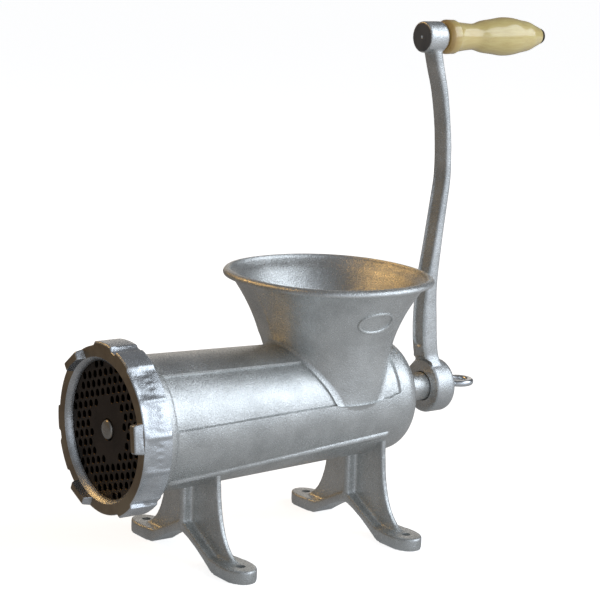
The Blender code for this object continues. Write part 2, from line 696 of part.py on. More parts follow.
def arm_section(share, middle, thickness):
    """The arm's outline at a share of the throw: rounded corners and a groove in its front face."""
    along = (share - ARM_LINE[0][0]) / (ARM_LINE[-1][0] - ARM_LINE[0][0])
    half = (ARM_WIDTH_LOW + along * (ARM_WIDTH_HIGH - ARM_WIDTH_LOW)) / 2
    front = HUB_FRONT + middle - thickness / 2
    back = front + thickness
    grooved = ARM_GROOVE_FROM < share < ARM_GROOVE_TO
    depth = ARM_GROOVE_DEPTH if grooved else 0.0001
    groove = ARM_GROOVE_WIDTH / 2
    inner = half - ARM_CORNER
    outline = [(inner, back), (-inner, back), (-half, back - ARM_CORNER), (-half, front + ARM_CORNER),
               (-inner, front), (-groove, front), (-groove + depth, front + depth),
               (groove - depth, front + depth), (groove, front), (inner, front),
               (half, front + ARM_CORNER), (half, back - ARM_CORNER)]
    return [(x, y, share * CRANK_THROW) for x, y in outline]


def make_crank_arm(finish, axis, peg_axis):
    """Hub, swept arm and top boss in one casting."""
    profile = [(HUB_FRONT, 0), (HUB_FRONT, HUB_R - EDGE), (HUB_FRONT + EDGE, HUB_R)]
    for k in range(6):
        angle = radians(90 - 18 * k)
        y = HUB_BACK - HUB_ROUNDING + HUB_ROUNDING * cos(angle)
        profile.append((y, HUB_R - HUB_ROUNDING + HUB_ROUNDING * sin(angle)))
    profile.append((HUB_BACK, 0))
    arm = piece("crank_arm", turned(profile, 32), finish, axis)
    join(arm, "arm_bar", lofted([arm_section(*place) for place in ARM_LINE]), axis)
    boss = [(BOSS_FRONT, 0), (BOSS_FRONT, BOSS_R - EDGE), (BOSS_FRONT + EDGE, BOSS_R),
            (BOSS_BACK - 3.75 * EDGE, BOSS_R), (BOSS_BACK, BOSS_R - 2.5 * EDGE), (BOSS_BACK, 0)]
    join(arm, "arm_boss", turned(boss, SMALL_FACETS), peg_axis)
    socket_start = HUB_FRONT + HUB_COUNTERBORE
    counterbore = SHAFT_R + COUNTERBORE_ROOM
    cut(arm, "hub_facing", rod(HUB_FRONT - HUB_LENGTH, HUB_FRONT, HUB_R + FACING_ROOM, 32), axis)
    cut(arm, "hub_counterbore", rod(HUB_FRONT - 0.01, socket_start, counterbore), axis)
    socket = square_bar(socket_start - 0.001, HUB_BACK - HUB_END_WALL, DRIVE_SQUARE + 2 * MESH_GAP)
    cut(arm, "hub_socket", socket, axis)
    cut(arm, "hub_screw_hole", rod(HUB_BACK - 0.01, HUB_BACK + 0.01, SCREW_R + MESH_GAP, 16), axis)
    cut(arm, "peg_hole", rod(BOSS_BACK - PEG_DEPTH, BOSS_BACK + 0.01, PEG_R + MESH_GAP, 16), peg_axis)


def make_thumb_screw(finish, axis):
    """A screw with a shoulder and a flat-lying eye to turn it by."""
    shoulder = HUB_BACK + MESH_GAP
    drive_end = HUB_BACK - HUB_END_WALL - 2 * MESH_GAP
    tip = drive_end - SCREW_DEPTH + 2 * MESH_GAP
    neck_end = shoulder + SCREW_SHOULDER + EYE_NECK - EYE_BAR_R
    profile = [(tip, 0), (tip, SCREW_R * 0.7), (tip + 0.001, SCREW_R), (shoulder, SCREW_R),
               (shoulder, SCREW_SHOULDER_R), (shoulder + SCREW_SHOULDER, SCREW_SHOULDER_R),
               (shoulder + SCREW_SHOULDER, SCREW_R), (neck_end, EYE_BAR_R * 1.1), (neck_end, 0)]
    screw = piece("thumb_screw", turned(profile, 16), finish, axis)
    eye = bmesh.new()
    bar = bmesh.ops.create_circle(eye, segments=10, radius=EYE_BAR_R, matrix=Matrix.Rotation(pi / 2, 4, "X"))
    bmesh.ops.translate(eye, vec=(EYE_R, 0, 0), verts=bar["verts"])
    bmesh.ops.spin(eye, geom=eye.verts[:] + eye.edges[:], cent=(0, 0, 0), axis=(0, 0, 1), angle=2 * pi,
                   steps=24, use_merge=True)
    middle = shoulder + SCREW_SHOULDER + EYE_NECK + EYE_R - EYE_BAR_R
    bmesh.ops.translate(eye, vec=(0, middle, 0), verts=eye.verts)
    join(screw, "screw_eye", eye, axis)


def grip_profile():
    """The turned grip: a chamfered collar, a waist, a full swell and a small nose."""
    knots = ((0.000, GRIP_COLLAR_R - 0.0020), (0.030, GRIP_COLLAR_R), (0.110, GRIP_COLLAR_R - 0.0008),
             (0.225, GRIP_WAIST_R), (0.400, GRIP_WAIST_R + 0.0021), (0.605, GRIP_SWELL_R),
             (0.745, GRIP_SWELL_R - 0.0010), (0.835, GRIP_SWELL_R - 0.0034), (0.940, GRIP_NOSE_R + 0.0025),
             (1.000, GRIP_NOSE_R))
    return [(GRIP_FRONT + share * GRIP_LENGTH, radius) for share, radius in knots]


def make_grip(finish, peg_axis):
    inner = room(PEG_R, SMALL_FACETS)
    profile = [(GRIP_FRONT, inner)] + grip_profile() + [(GRIP_BACK, inner)]
    piece("grip", turned(profile, SMALL_FACETS, closed=True), finish, peg_axis)


def make_peg(finish, peg_axis):
    """The steel peg through the grip, its head and the washer under it."""
    start = BOSS_BACK - PEG_DEPTH + MESH_GAP
    under_head = PEG_END - PEG_HEAD
    profile = [(start, 0), (start, PEG_R), (under_head, PEG_R), (under_head, PEG_HEAD_R),
               (under_head + 0.4 * PEG_HEAD, PEG_HEAD_R), (PEG_END - 0.2 * PEG_HEAD, PEG_HEAD_R * 0.7),
               (PEG_END, PEG_HEAD_R * 0.3), (PEG_END, 0)]
    piece("handle_peg", turned(profile, 16), finish, peg_axis)
    inner = room(PEG_R, 16)
    front = GRIP_BACK + MESH_GAP
    back = front + PEG_WASHER
    ring = [(front, inner), (front, PEG_WASHER_R), (back, PEG_WASHER_R), (back, inner)]
    piece("peg_washer", turned(ring, 16, closed=True), finish, peg_axis)


def build():
    for old in list(bpy.data.objects):
        bpy.data.objects.remove(old, do_unlink=True)
    tinned = material("tinned_cast_iron", (0.62, 0.63, 0.64), 1.0, 0.34)
    steel = material("steel", (0.55, 0.55, 0.56), 1.0, 0.28)
    dark = material("dark_oiled_steel", (0.07, 0.055, 0.045), 0.9, 0.45)
    bronze = material("bronze", (0.60, 0.42, 0.20), 1.0, 0.35)
    fibre = material("fibre", (0.25, 0.09, 0.05), 0.0, 0.60)
    zinc = material("zinc_plate", (0.66, 0.68, 0.71), 1.0, 0.18)
    wood = material("lacquered_wood", (0.80, 0.66, 0.40), 0.0, 0.22)
    datum = empty("datum", (0, -MIDDLE, 0))
    axis = empty("barrel_axis", (0, 0, AXIS_HEIGHT), datum)
    peg_axis = empty("peg_axis", (0, 0, CRANK_THROW), axis)
    make_housing(tinned, axis, datum)
    make_key_pin(steel, axis)
    make_bushing(bronze, axis)
    make_thrust_washer(fibre, axis)
    make_auger(tinned, axis)
    make_stud(steel, axis)
    make_knife(steel, axis)
    make_plate(dark, axis)
    make_ring_nut(tinned, axis)
    make_crank_arm(tinned, axis, peg_axis)
    make_thumb_screw(zinc, axis)
    make_grip(wood, peg_axis)
    make_peg(dark, peg_axis)
    bpy.context.view_layer.update()


build()
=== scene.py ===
from math import acos, atan2, cos, degrees, hypot, pi, radians, sin, sqrt

import bmesh
import bpy
from mathutils import Matrix, Vector


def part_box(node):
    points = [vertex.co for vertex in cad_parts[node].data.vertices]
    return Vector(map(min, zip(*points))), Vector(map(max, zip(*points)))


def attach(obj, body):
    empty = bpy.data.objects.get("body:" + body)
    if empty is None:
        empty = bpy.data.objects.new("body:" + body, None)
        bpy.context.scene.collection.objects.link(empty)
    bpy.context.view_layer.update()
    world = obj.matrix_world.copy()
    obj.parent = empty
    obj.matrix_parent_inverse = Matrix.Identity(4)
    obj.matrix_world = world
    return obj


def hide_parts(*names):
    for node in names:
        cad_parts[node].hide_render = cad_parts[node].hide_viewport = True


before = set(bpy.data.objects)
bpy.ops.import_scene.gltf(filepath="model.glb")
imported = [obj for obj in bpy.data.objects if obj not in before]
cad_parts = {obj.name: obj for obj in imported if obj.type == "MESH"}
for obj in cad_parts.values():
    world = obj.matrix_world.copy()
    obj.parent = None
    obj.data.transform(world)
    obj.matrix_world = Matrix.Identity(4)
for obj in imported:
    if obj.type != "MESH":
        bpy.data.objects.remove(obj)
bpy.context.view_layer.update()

# Anchors read from the CAD nodes
housingLow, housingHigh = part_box("housing")
bushingLow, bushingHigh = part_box("rear_bushing")
plateLow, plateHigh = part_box("grinding_plate")
augerLow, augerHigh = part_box("auger")
armLow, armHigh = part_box("crank_arm")
gripLow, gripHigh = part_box("grip")
screwLow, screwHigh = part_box("thumb_screw")
pegLow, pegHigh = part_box("handle_peg")
studLow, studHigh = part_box("auger_stud")
knifeLow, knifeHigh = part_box("cross_knife")
axisZ = (bushingLow.z + bushingHigh.z) / 2
pegZ = (pegLow.z + pegHigh.z) / 2
mouthY = housingLow.y     # mouth of the barrel
domeTipY = housingHigh.y
meshGap = 0.0003
hubLength = 0.0179        # crank's hub, front to back
hubCounterbore = 0.0040   # how far the shaft goes into the hub


# Small tools
def smooth(low, high, value):
    t = min(1, max(0, (value - low) / (high - low)))
    return t * t * (3 - 2 * t)


# Points on a smooth curve through the knots, a fixed number to each gap
def through(knots, count):
    points = []
    for i in range(len(knots) - 1):
        before = Vector(knots[max(i - 1, 0)])
        here, there = Vector(knots[i]), Vector(knots[i + 1])
        after = Vector(knots[min(i + 2, len(knots) - 1)])
        for k in range(count):
            t = k / count
            points.append(0.5 * (2 * here + (there - before) * t
                                 + (2 * before - 5 * here + 4 * there - after) * t * t
                                 + (3 * here - before - 3 * there + after) * t ** 3))
    points.append(Vector(knots[-1]))
    return points


# A profile of (y, radius) points turned about a level axis along Y
def turned(profile, steps, height=axisZ, closed=False):
    bm = bmesh.new()
    verts = [bm.verts.new((radius, y, height)) for y, radius in profile]
    following = verts[1:] + verts[:1] if closed else verts[1:]
    edges = [bm.edges.new(pair) for pair in zip(verts, following)]
    bmesh.ops.spin(bm, geom=verts + edges, cent=(0, 0, height), axis=(0, 1, 0), angle=2 * pi, steps=steps,
                   use_merge=True)
    bmesh.ops.remove_doubles(bm, verts=bm.verts, dist=1e-6)
    bmesh.ops.recalc_face_normals(bm, faces=bm.faces)
    return bm


def rod(start, end, radius, steps, height=axisZ):
    return turned([(start, 0), (start, radius), (end, radius), (end, 0)], steps, height)


# A plain block between two opposite corners
def cuboid(low, high):
    low, high = Vector(low), Vector(high)
    bm = bmesh.new()
    bmesh.ops.create_cube(bm, size=1)
    bmesh.ops.scale(bm, vec=high - low, verts=bm.verts)
    bmesh.ops.translate(bm, vec=(low + high) / 2, verts=bm.verts)
    return bm


# A square bar along the barrel's axis
def squareBar(start, end, width):
    half = width / 2
    return cuboid((-half, start, axisZ - half), (half, end, axisZ + half))


# Rings of points bridged one to the next
def loft(rings, capped=True):
    bm = bmesh.new()
    loops = []
    for ring in rings:
        verts = [bm.verts.new(point) for point in ring]
        loops.append([bm.edges.new(pair) for pair in zip(verts, verts[1:] + verts[:1])])
    if capped:
        for loop in (loops[0], loops[-1]):
            bmesh.ops.contextual_create(bm, geom=loop)
    for loop, after in zip(loops, loops[1:]):
        bmesh.ops.bridge_loops(bm, edges=loop + after)
    bmesh.ops.recalc_face_normals(bm, faces=bm.faces)
    return bm


# A closed outline of points pushed along a step
def slab(outline, start, step):
    bm = bmesh.new()
    face = bm.faces.new([bm.verts.new(Vector(point) + Vector(start)) for point in outline])
    grown = bmesh.ops.extrude_face_region(bm, geom=[face])["geom"]
    bmesh.ops.translate(bm, vec=step, verts=[v for v in grown if isinstance(v, bmesh.types.BMVert)])
    bmesh.ops.recalc_face_normals(bm, faces=bm.faces)
    return bm


def toObject(name, bm):
    mesh = bpy.data.meshes.new(name)
    bm.to_mesh(mesh)
    bm.free()
    made = bpy.data.objects.new(name, mesh)
    bpy.context.scene.collection.objects.link(made)
    return made


def discard(made):
    mesh = made.data
    bpy.data.objects.remove(made, do_unlink=True)
    bpy.data.meshes.remove(mesh)


# Add one bmesh's shape to another as loose solids
def pourInto(bm, other):
    mesh = bpy.data.meshes.new("part")
    other.to_mesh(mesh)
    other.free()
    bm.from_mesh(mesh)
    bpy.data.meshes.remove(mesh)


# The object's mesh with its modifiers applied, as a new bmesh. The object is removed
def settled(made):
    bpy.context.view_layer.update()
    final = made.evaluated_get(bpy.context.evaluated_depsgraph_get())
    bm = bmesh.new()
    bm.from_mesh(final.to_mesh())
    final.to_mesh_clear()
    discard(made)
    return bm


# Boolean of one solid with several others
def combined(bm, others, operation):
    base = toObject("base", bm)
    helpers = []
    for other in others:
        helper = toObject("helper", other)
        step = base.modifiers.new("step", "BOOLEAN")
        step.operation = operation
        step.solver = "EXACT"
        step.object = helper
        helpers.append(helper)
    result = settled(base)
    for helper in helpers:
        discard(helper)
    return result


# Solids run together as one casting, with its edges and corners rounded
def cast(parts, voxel, rounds, factor=0.5):
    bm = bmesh.new()
    for part in parts:
        pourInto(bm, part)
    base = toObject("base", bm)
    step = base.modifiers.new("step", "REMESH")
    step.mode = "VOXEL"
    step.voxel_size = voxel
    result = settled(base)
    for _ in range(rounds):
        bmesh.ops.smooth_vert(result, verts=result.verts, factor=factor, use_axis_x=True, use_axis_y=True,
                              use_axis_z=True)
    return result


# Make a finished piece of a bmesh, riding on its body and standing for its CAD nodes
def addPiece(name, bm, finishes, body, replaced, sharpAngle=40):
    bmesh.ops.recalc_face_normals(bm, faces=bm.faces)
    made = toObject(name, bm)
    made.data.shade_smooth()
    made.data.set_sharp_from_angle(angle=radians(sharpAngle))
    for finish in finishes:
        made.data.materials.append(finish)
    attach(made, body)
    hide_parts(*replaced)
    print("made", name, "with", sum(len(p.vertices) - 2 for p in made.data.polygons), "triangles")
    return made


# Finishes

# An sRGB hex colour as linear values
def hexColour(code):
    shades = [int(code[i:i + 2], 16) / 255 for i in (0, 2, 4)]
    return [s / 12.92 if s <= 0.04045 else ((s + 0.055) / 1.055) ** 2.4 for s in shades] + [1]


# Add a node. Settings are its properties and input values; links name the sockets that feed its inputs
def addNode(tree, kind, settings=None, **links):
    node = tree.nodes.new(kind)
    for key, value in (settings or {}).items():
        if isinstance(key, str) and hasattr(node, key):
            setattr(node, key, value)
        else:
            node.inputs[key].default_value = value
    for key, source in links.items():
        numbered = key[0] == "i" and key[1:].isdigit()     # i0 is the first input
        tree.links.new(source, node.inputs[int(key[1:]) if numbered else key.replace("_", " ")])
    return node


def newFinish(name, **values):
    made = bpy.data.materials.new(name)
    made.use_nodes = True
    tree = made.node_tree
    shader = tree.nodes["Principled BSDF"]
    for key, value in values.items():
        shader.inputs[key.replace("_", " ")].default_value = value
    place = addNode(tree, "ShaderNodeTexCoord").outputs["Object"]
    return made, tree, shader, place


# A sand-cast surface under its coating: a fine grain, a slow unevenness, and patches that are duller
def castMetal(name, bright, dull, roughness, grainSize, grainDepth, waveDepth, metallic=1.0):
    made, tree, shader, place = newFinish(name, Metallic=metallic)
    grain = addNode(tree, "ShaderNodeTexNoise", {"Scale": 1 / grainSize, "Detail": 4.0, "Roughness": 0.72},
                    Vector=place)
    wave = addNode(tree, "ShaderNodeTexNoise", {"Scale": 1 / 0.011, "Detail": 2.0, "Roughness": 0.5},
                   Vector=place)
    patch = addNode(tree, "ShaderNodeTexNoise", {"Scale": 1 / 0.024, "Detail": 4.0, "Roughness": 0.6},
                    Vector=place)
    tint = addNode(tree, "ShaderNodeValToRGB", {}, Fac=patch.outputs["Fac"])
    tint.color_ramp.elements[0].position = 0.35
    tint.color_ramp.elements[0].color = hexColour(dull)
    tint.color_ramp.elements[1].position = 0.62
    tint.color_ramp.elements[1].color = hexColour(bright)
    rough = addNode(tree, "ShaderNodeMapRange", {"From Min": 0.3, "From Max": 0.7,
                                                 "To Min": roughness - 0.05,
                                                 "To Max": roughness + 0.07}, Value=grain.outputs["Fac"])
    slow = addNode(tree, "ShaderNodeBump", {"Strength": 1.0, "Distance": waveDepth},
                   Height=wave.outputs["Fac"])
    fine = addNode(tree, "ShaderNodeBump", {"Strength": 1.0, "Distance": grainDepth},
                   Height=grain.outputs["Fac"],
                   Normal=slow.outputs["Normal"])
    tree.links.new(tint.outputs["Color"], shader.inputs["Base Color"])
    tree.links.new(rough.outputs["Result"], shader.inputs["Roughness"])
    tree.links.new(fine.outputs["Normal"], shader.inputs["Normal"])
    return made


# hot tinned grey iron, sand cast: satin silver with a fine sandy sparkle, and a thin oxide haze that scatters
# some light
tinnedIron = castMetal("tinned_sand_cast_iron", "dcdedd", "c9cbca", 0.28, 0.0011, 0.00030, 0.00040, 0.86)
# the ring is tinned over a rougher sand face
tinnedRing = castMetal("tinned_rough_cast_iron", "dfe3e7", "c6cacd", 0.25, 0.0013, 0.00026, 0.00075, 0.90)
# the crank comes from the same sand, a little coarser, with its scale left on
tinnedCrank = castMetal("tinned_coarse_cast_iron", "dbdddd", "c5c8c9", 0.28, 0.0012, 0.00032, 0.00060, 0.86)
# turned face of the ring, left bare: dull grey iron, with a brown tint that is a painted reflection of warm
# surroundings
turnedIronPaintedWarmth = castMetal("turned_bare_iron_painted_warmth", "a5967f", "8e7d69", 0.40, 0.0013, 0.00006, 0.0001)
# filed end of the crank's boss: dark blue-grey
filedIron = castMetal("filed_bare_iron", "8b8d92", "72747a", 0.36, 0.0011, 0.00008, 0.0001)
oiledSteel = castMetal("oiled_blackened_steel", "4a4038", "3a322b", 0.36, 0.0010, 0.00004, 0.00008)
brightSteel = castMetal("ground_steel", "b4b1ac", "a09c96", 0.24, 0.0012, 0.00003, 0.00005)
zincSteel = castMetal("zinc_plated_steel", "e0e3e6", "ccd0d4", 0.16, 0.0016, 0.00003, 0.0001)
bronze = castMetal("sintered_bronze", "c89b52", "a97d3c", 0.34, 0.0009, 0.00005, 0.00005)
fibre, fibreTree, fibreShader, fibrePlace = newFinish("vulcanised_fibre", Roughness=0.55)
speck = addNode(fibreTree, "ShaderNodeTexNoise", {"Scale": 1 / 0.0008, "Detail": 3.0}, Vector=fibrePlace)
blend = addNode(fibreTree, "ShaderNodeMix", {"data_type": "RGBA"})
blend.inputs[6].default_value = hexColour("6b2f22")
blend.inputs[7].default_value = hexColour("86422f")
fibreTree.links.new(speck.outputs["Fac"], blend.inputs[0])
fibreTree.links.new(blend.outputs[2], fibreShader.inputs["Base Color"])


# Turned beech under a thick yellowed lacquer: creamy, with fine short grain lines along the grip
def woodFinish():
    made, tree, shader, place = newFinish("lacquered_turned_beech", Roughness=0.30, Coat_Weight=1.0,
                                          Coat_Roughness=0.10)
    shader.inputs["Coat IOR"].default_value = 1.6
    shader.inputs["Subsurface Weight"].default_value = 0.0
    stretched = addNode(tree, "ShaderNodeMapping", {"Scale": (1.0, 0.07, 1.0)}, Vector=place)
    grain = addNode(tree, "ShaderNodeTexNoise", {"Scale": 1 / 0.0016, "Detail": 5.0, "Roughness": 0.65},
                    Vector=stretched.outputs["Vector"])
    cloud = addNode(tree, "ShaderNodeTexNoise", {"Scale": 1 / 0.018, "Detail": 3.0}, Vector=place)
    ramp = addNode(tree, "ShaderNodeValToRGB", {}, Fac=grain.outputs["Fac"])
    ramp.color_ramp.elements[0].position = 0.25
    ramp.color_ramp.elements[0].color = hexColour("d9bd74")
    ramp.color_ramp.elements[1].position = 0.70
    ramp.color_ramp.elements[1].color = hexColour("ead78f")
    warm = addNode(tree, "ShaderNodeMix", {"data_type": "RGBA"})
    warm.inputs[7].default_value = hexColour("dfc078")
    tree.links.new(ramp.outputs["Color"], warm.inputs[6])
    share = addNode(tree, "ShaderNodeMapRange", {"From Min": 0.42, "From Max": 0.7, "To Min": 0.0,
                                                 "To Max": 0.55},
                    Value=cloud.outputs["Fac"])
    tree.links.new(share.outputs["Result"], warm.inputs[0])
    # the lacquer has gathered and darkened at the inner end
    split = addNode(tree, "ShaderNodeSeparateXYZ", {}, Vector=place)
    end = addNode(tree, "ShaderNodeMapRange", {"From Min": gripLow.y + 0.001,
                                               "From Max": gripLow.y + 0.0085,
                                               "To Min": 0.80, "To Max": 0.0}, Value=split.outputs["Y"])
    amber = addNode(tree, "ShaderNodeMix", {"data_type": "RGBA"})
    amber.inputs[7].default_value = hexColour("b68a40")
    tree.links.new(end.outputs["Result"], amber.inputs[0])
    tree.links.new(warm.outputs[2], amber.inputs[6])
    tree.links.new(amber.outputs[2], shader.inputs["Base Color"])
    fine = addNode(tree, "ShaderNodeBump", {"Strength": 0.4, "Distance": 0.00006},
                   Height=grain.outputs["Fac"])
    tree.links.new(fine.outputs["Normal"], shader.inputs["Normal"])
    return made


lacqueredWood = woodFinish()
print("finishes made")

# Camera, light and floor
view = {
    "azimuth": radians(54.2), "elevation": radians(10.9), "roll": radians(1.9),
    "distance": 1.324, "target": Vector((0, -0.0237, 0.1671)), "lens": 116.76,
}
ahead = Vector((-sin(view["azimuth"]) * cos(view["elevation"]),
                cos(view["azimuth"]) * cos(view["elevation"]),
                -sin(view["elevation"])))
level = Vector((cos(view["azimuth"]), sin(view["azimuth"]), 0))
upright = level.cross(ahead)
right = cos(view["roll"]) * level + sin(view["roll"]) * upright
up = -sin(view["roll"]) * level + cos(view["roll"]) * upright
camera = bpy.data.objects.new("camera", bpy.data.cameras.new("camera"))
camera.data.lens = view["lens"]
camera.data.sensor_width = 36
camera.data.clip_start = 0.05
camera.data.clip_end = 60
camera.matrix_world = Matrix.Translation(view["target"] - ahead * view["distance"]) @ Matrix(
    ((right.x, up.x, -ahead.x), (right.y, up.y, -ahead.y), (right.z, up.z, -ahead.z))).to_4x4()
bpy.context.scene.collection.objects.link(camera)
bpy.context.scene.camera = camera
bpy.context.scene.view_settings.view_transform = "Standard"


# A soft light panel that faces the object from a direction
def panel(name, direction, distance, width, height, strength, colour):
    lamp = bpy.data.lights.new(name, "AREA")
    lamp.shape = "RECTANGLE"
    lamp.size = width
    lamp.size_y = height
    lamp.energy = strength * width * height * pi     # strength is the panel's own radiance
    lamp.color = hexColour(colour)[:3]
    made = bpy.data.objects.new(name, lamp)
    away = Vector(direction).normalized()
    facing = away.to_track_quat("Z", "Y").to_matrix().to_4x4()
    made.matrix_world = Matrix.Translation(away * distance + Vector((0, 0, 0.12))) @ facing
    bpy.context.scene.collection.objects.link(made)
    return made


panel("window", (0.55, 0.62, 0.50), 2.0, 1.9, 1.6, 2.05, "ecf5ff")
panel("side_wall", (0.95, 0.10, 0.02), 2.4, 1.6, 1.2, 0.50, "e6f0ff")
panel("warm_lamp", (-0.67, -0.38, 0.64), 2.0, 0.72, 0.62, 3.6, "ffc978")
panel("back_wall", (-0.80, 0.57, 0.16), 2.4, 1.6, 0.9, 0.60, "fff6ea")

world = bpy.data.worlds.new("room")
world.use_nodes = True
bpy.context.scene.world = world
sky = world.node_tree
direction = addNode(sky, "ShaderNodeTexCoord").outputs["Generated"]


room = {"base": (0.155, 0.157, 0.163), "shade": (0.18, 0.148, 0.11), "lit": (0.66, 0.71, 0.78),
        "shadeTowards": (-0.72, -0.66, -0.1), "litTowards": (0.97, 0.12, -0.05)}


# The room's own light, changing to another colour towards one side
def roomSide(under, towards, start, full, colour):
    side = addNode(sky, "ShaderNodeVectorMath", {"operation": "DOT_PRODUCT", 1: towards}, i0=direction)
    share = addNode(sky, "ShaderNodeMapRange", {"From Min": start, "From Max": full,
                                                "interpolation_type": "SMOOTHSTEP"},
                    Value=side.outputs["Value"])
    mixed = addNode(sky, "ShaderNodeMix", {"data_type": "RGBA"})
    mixed.inputs[7].default_value = (*colour, 1)
    sky.links.new(share.outputs["Result"], mixed.inputs[0])
    if under:
        sky.links.new(under, mixed.inputs[6])
    else:
        mixed.inputs[6].default_value = (*room["base"], 1)
    return mixed.outputs[2]


dark = roomSide(None, room["shadeTowards"], 0.2, 0.9, room["shade"])
lit = roomSide(dark, room["litTowards"], 0.20, 0.98, room["lit"])
sky.links.new(lit, sky.nodes["Background"].inputs["Color"])

# plain pale floor: it is bright where the camera looks at it, and only pale where the metal mirrors it. Where
# the metal mirrors it, it is a painted grey-brown reflection with a painted glow that grows towards the
# window side
floorMesh = bmesh.new()
bmesh.ops.create_grid(floorMesh, x_segments=2, y_segments=2, size=30)
floor = toObject("floor", floorMesh)
floorFinish, floorTree, floorShader, floorPlace = newFinish("matt_paper", Roughness=0.9)
floorShader.inputs["Base Color"].default_value = hexColour("8f8a82")
floorShader.inputs["Specular IOR Level"].default_value = 0.0
# painted light: the mirrored floor glows more towards the window side, as if the window lit it there
across = addNode(floorTree, "ShaderNodeVectorMath", {"operation": "DOT_PRODUCT", 1: (0.90, 0.42, 0)},
                 i0=floorPlace)
paintedFloorGlow = addNode(floorTree, "ShaderNodeMapRange", {"From Min": -0.45, "From Max": 0.9, "To Min": 0.10,
                                                     "To Max": 0.62,
                                                     "interpolation_type": "SMOOTHSTEP"},
                                                     Value=across.outputs["Value"])
floorShader.inputs["Emission Color"].default_value = hexColour("e9eff8")
floorTree.links.new(paintedFloorGlow.outputs["Result"], floorShader.inputs["Emission Strength"])
glow = addNode(floorTree, "ShaderNodeEmission", {"Color": (1, 1, 1, 1), "Strength": 0.78})
white = addNode(floorTree, "ShaderNodeBsdfDiffuse", {"Color": (0.9, 0.9, 0.9, 1)})
both = addNode(floorTree, "ShaderNodeAddShader", {}, i0=glow.outputs[0], i1=white.outputs[0])
seen = addNode(floorTree, "ShaderNodeLightPath")
choice = addNode(floorTree, "ShaderNodeMixShader", {}, i0=seen.outputs["Is Camera Ray"],
                 i1=floorShader.outputs[0], i2=both.outputs[0])
floorTree.links.new(choice.outputs[0], floorTree.nodes["Material Output"].inputs["Surface"])
floor.data.materials.append(floorFinish)
floor.location.z = -0.0002
print("camera, light and floor set")

# Housing: barrel, hopper and legs in one casting
housing = {
    "barrelLength": 0.2124, "frontRadius": 0.0456, "rearRadius": 0.0403, "wall": 0.0048,
    "threadRadius": 0.0528, "collarRadius": 0.0508, "collarStart": 0.0120, "collarLength": 0.0068,
    "slope": 0.0050,
    "domeLength": 0.0217, "bossRadius": 0.0178,
    "panelDepth": 0.0014, "panelTop": 57.0, "panelBottomFront": 6.5, "panelBottomRear": 9.0,
    "panelBottomBehind": 12.0,
    "panelEnd": 0.2065, "beadFront": -45.0, "beadRear": -30.0, "beadHeight": 0.0017,
    "beadHalfWidth": 0.0026,
    "beadEnd": 0.2010, "steps": 480,
    "seatRadius": 0.0500, "seatEnd": 0.0100, "boreEnd": 0.2160, "bushingHole": 0.01410,
}


def barrelRadius(s):
    collarEnd = housing["collarStart"] + housing["collarLength"] + housing["slope"]
    share = (s - collarEnd) / (housing["barrelLength"] - collarEnd)
    return housing["frontRadius"] + share * (housing["rearRadius"] - housing["frontRadius"])


# Angle of the sunk panel's lower edge at a station, in degrees
def panelBottom(s):
    along = smooth(0.02, 0.15, s) if s < 0.15 else 1
    line = housing["panelBottomFront"] + along * (housing["panelBottomRear"] - housing["panelBottomFront"])
    return line + (housing["panelBottomBehind"] - housing["panelBottomRear"]) * smooth(0.196, 0.203, s)


def beadLine(s):
    share = min(1, max(0, (s - 0.02) / (housing["beadEnd"] - 0.02)))
    return housing["beadFront"] + share * (housing["beadRear"] - housing["beadFront"])


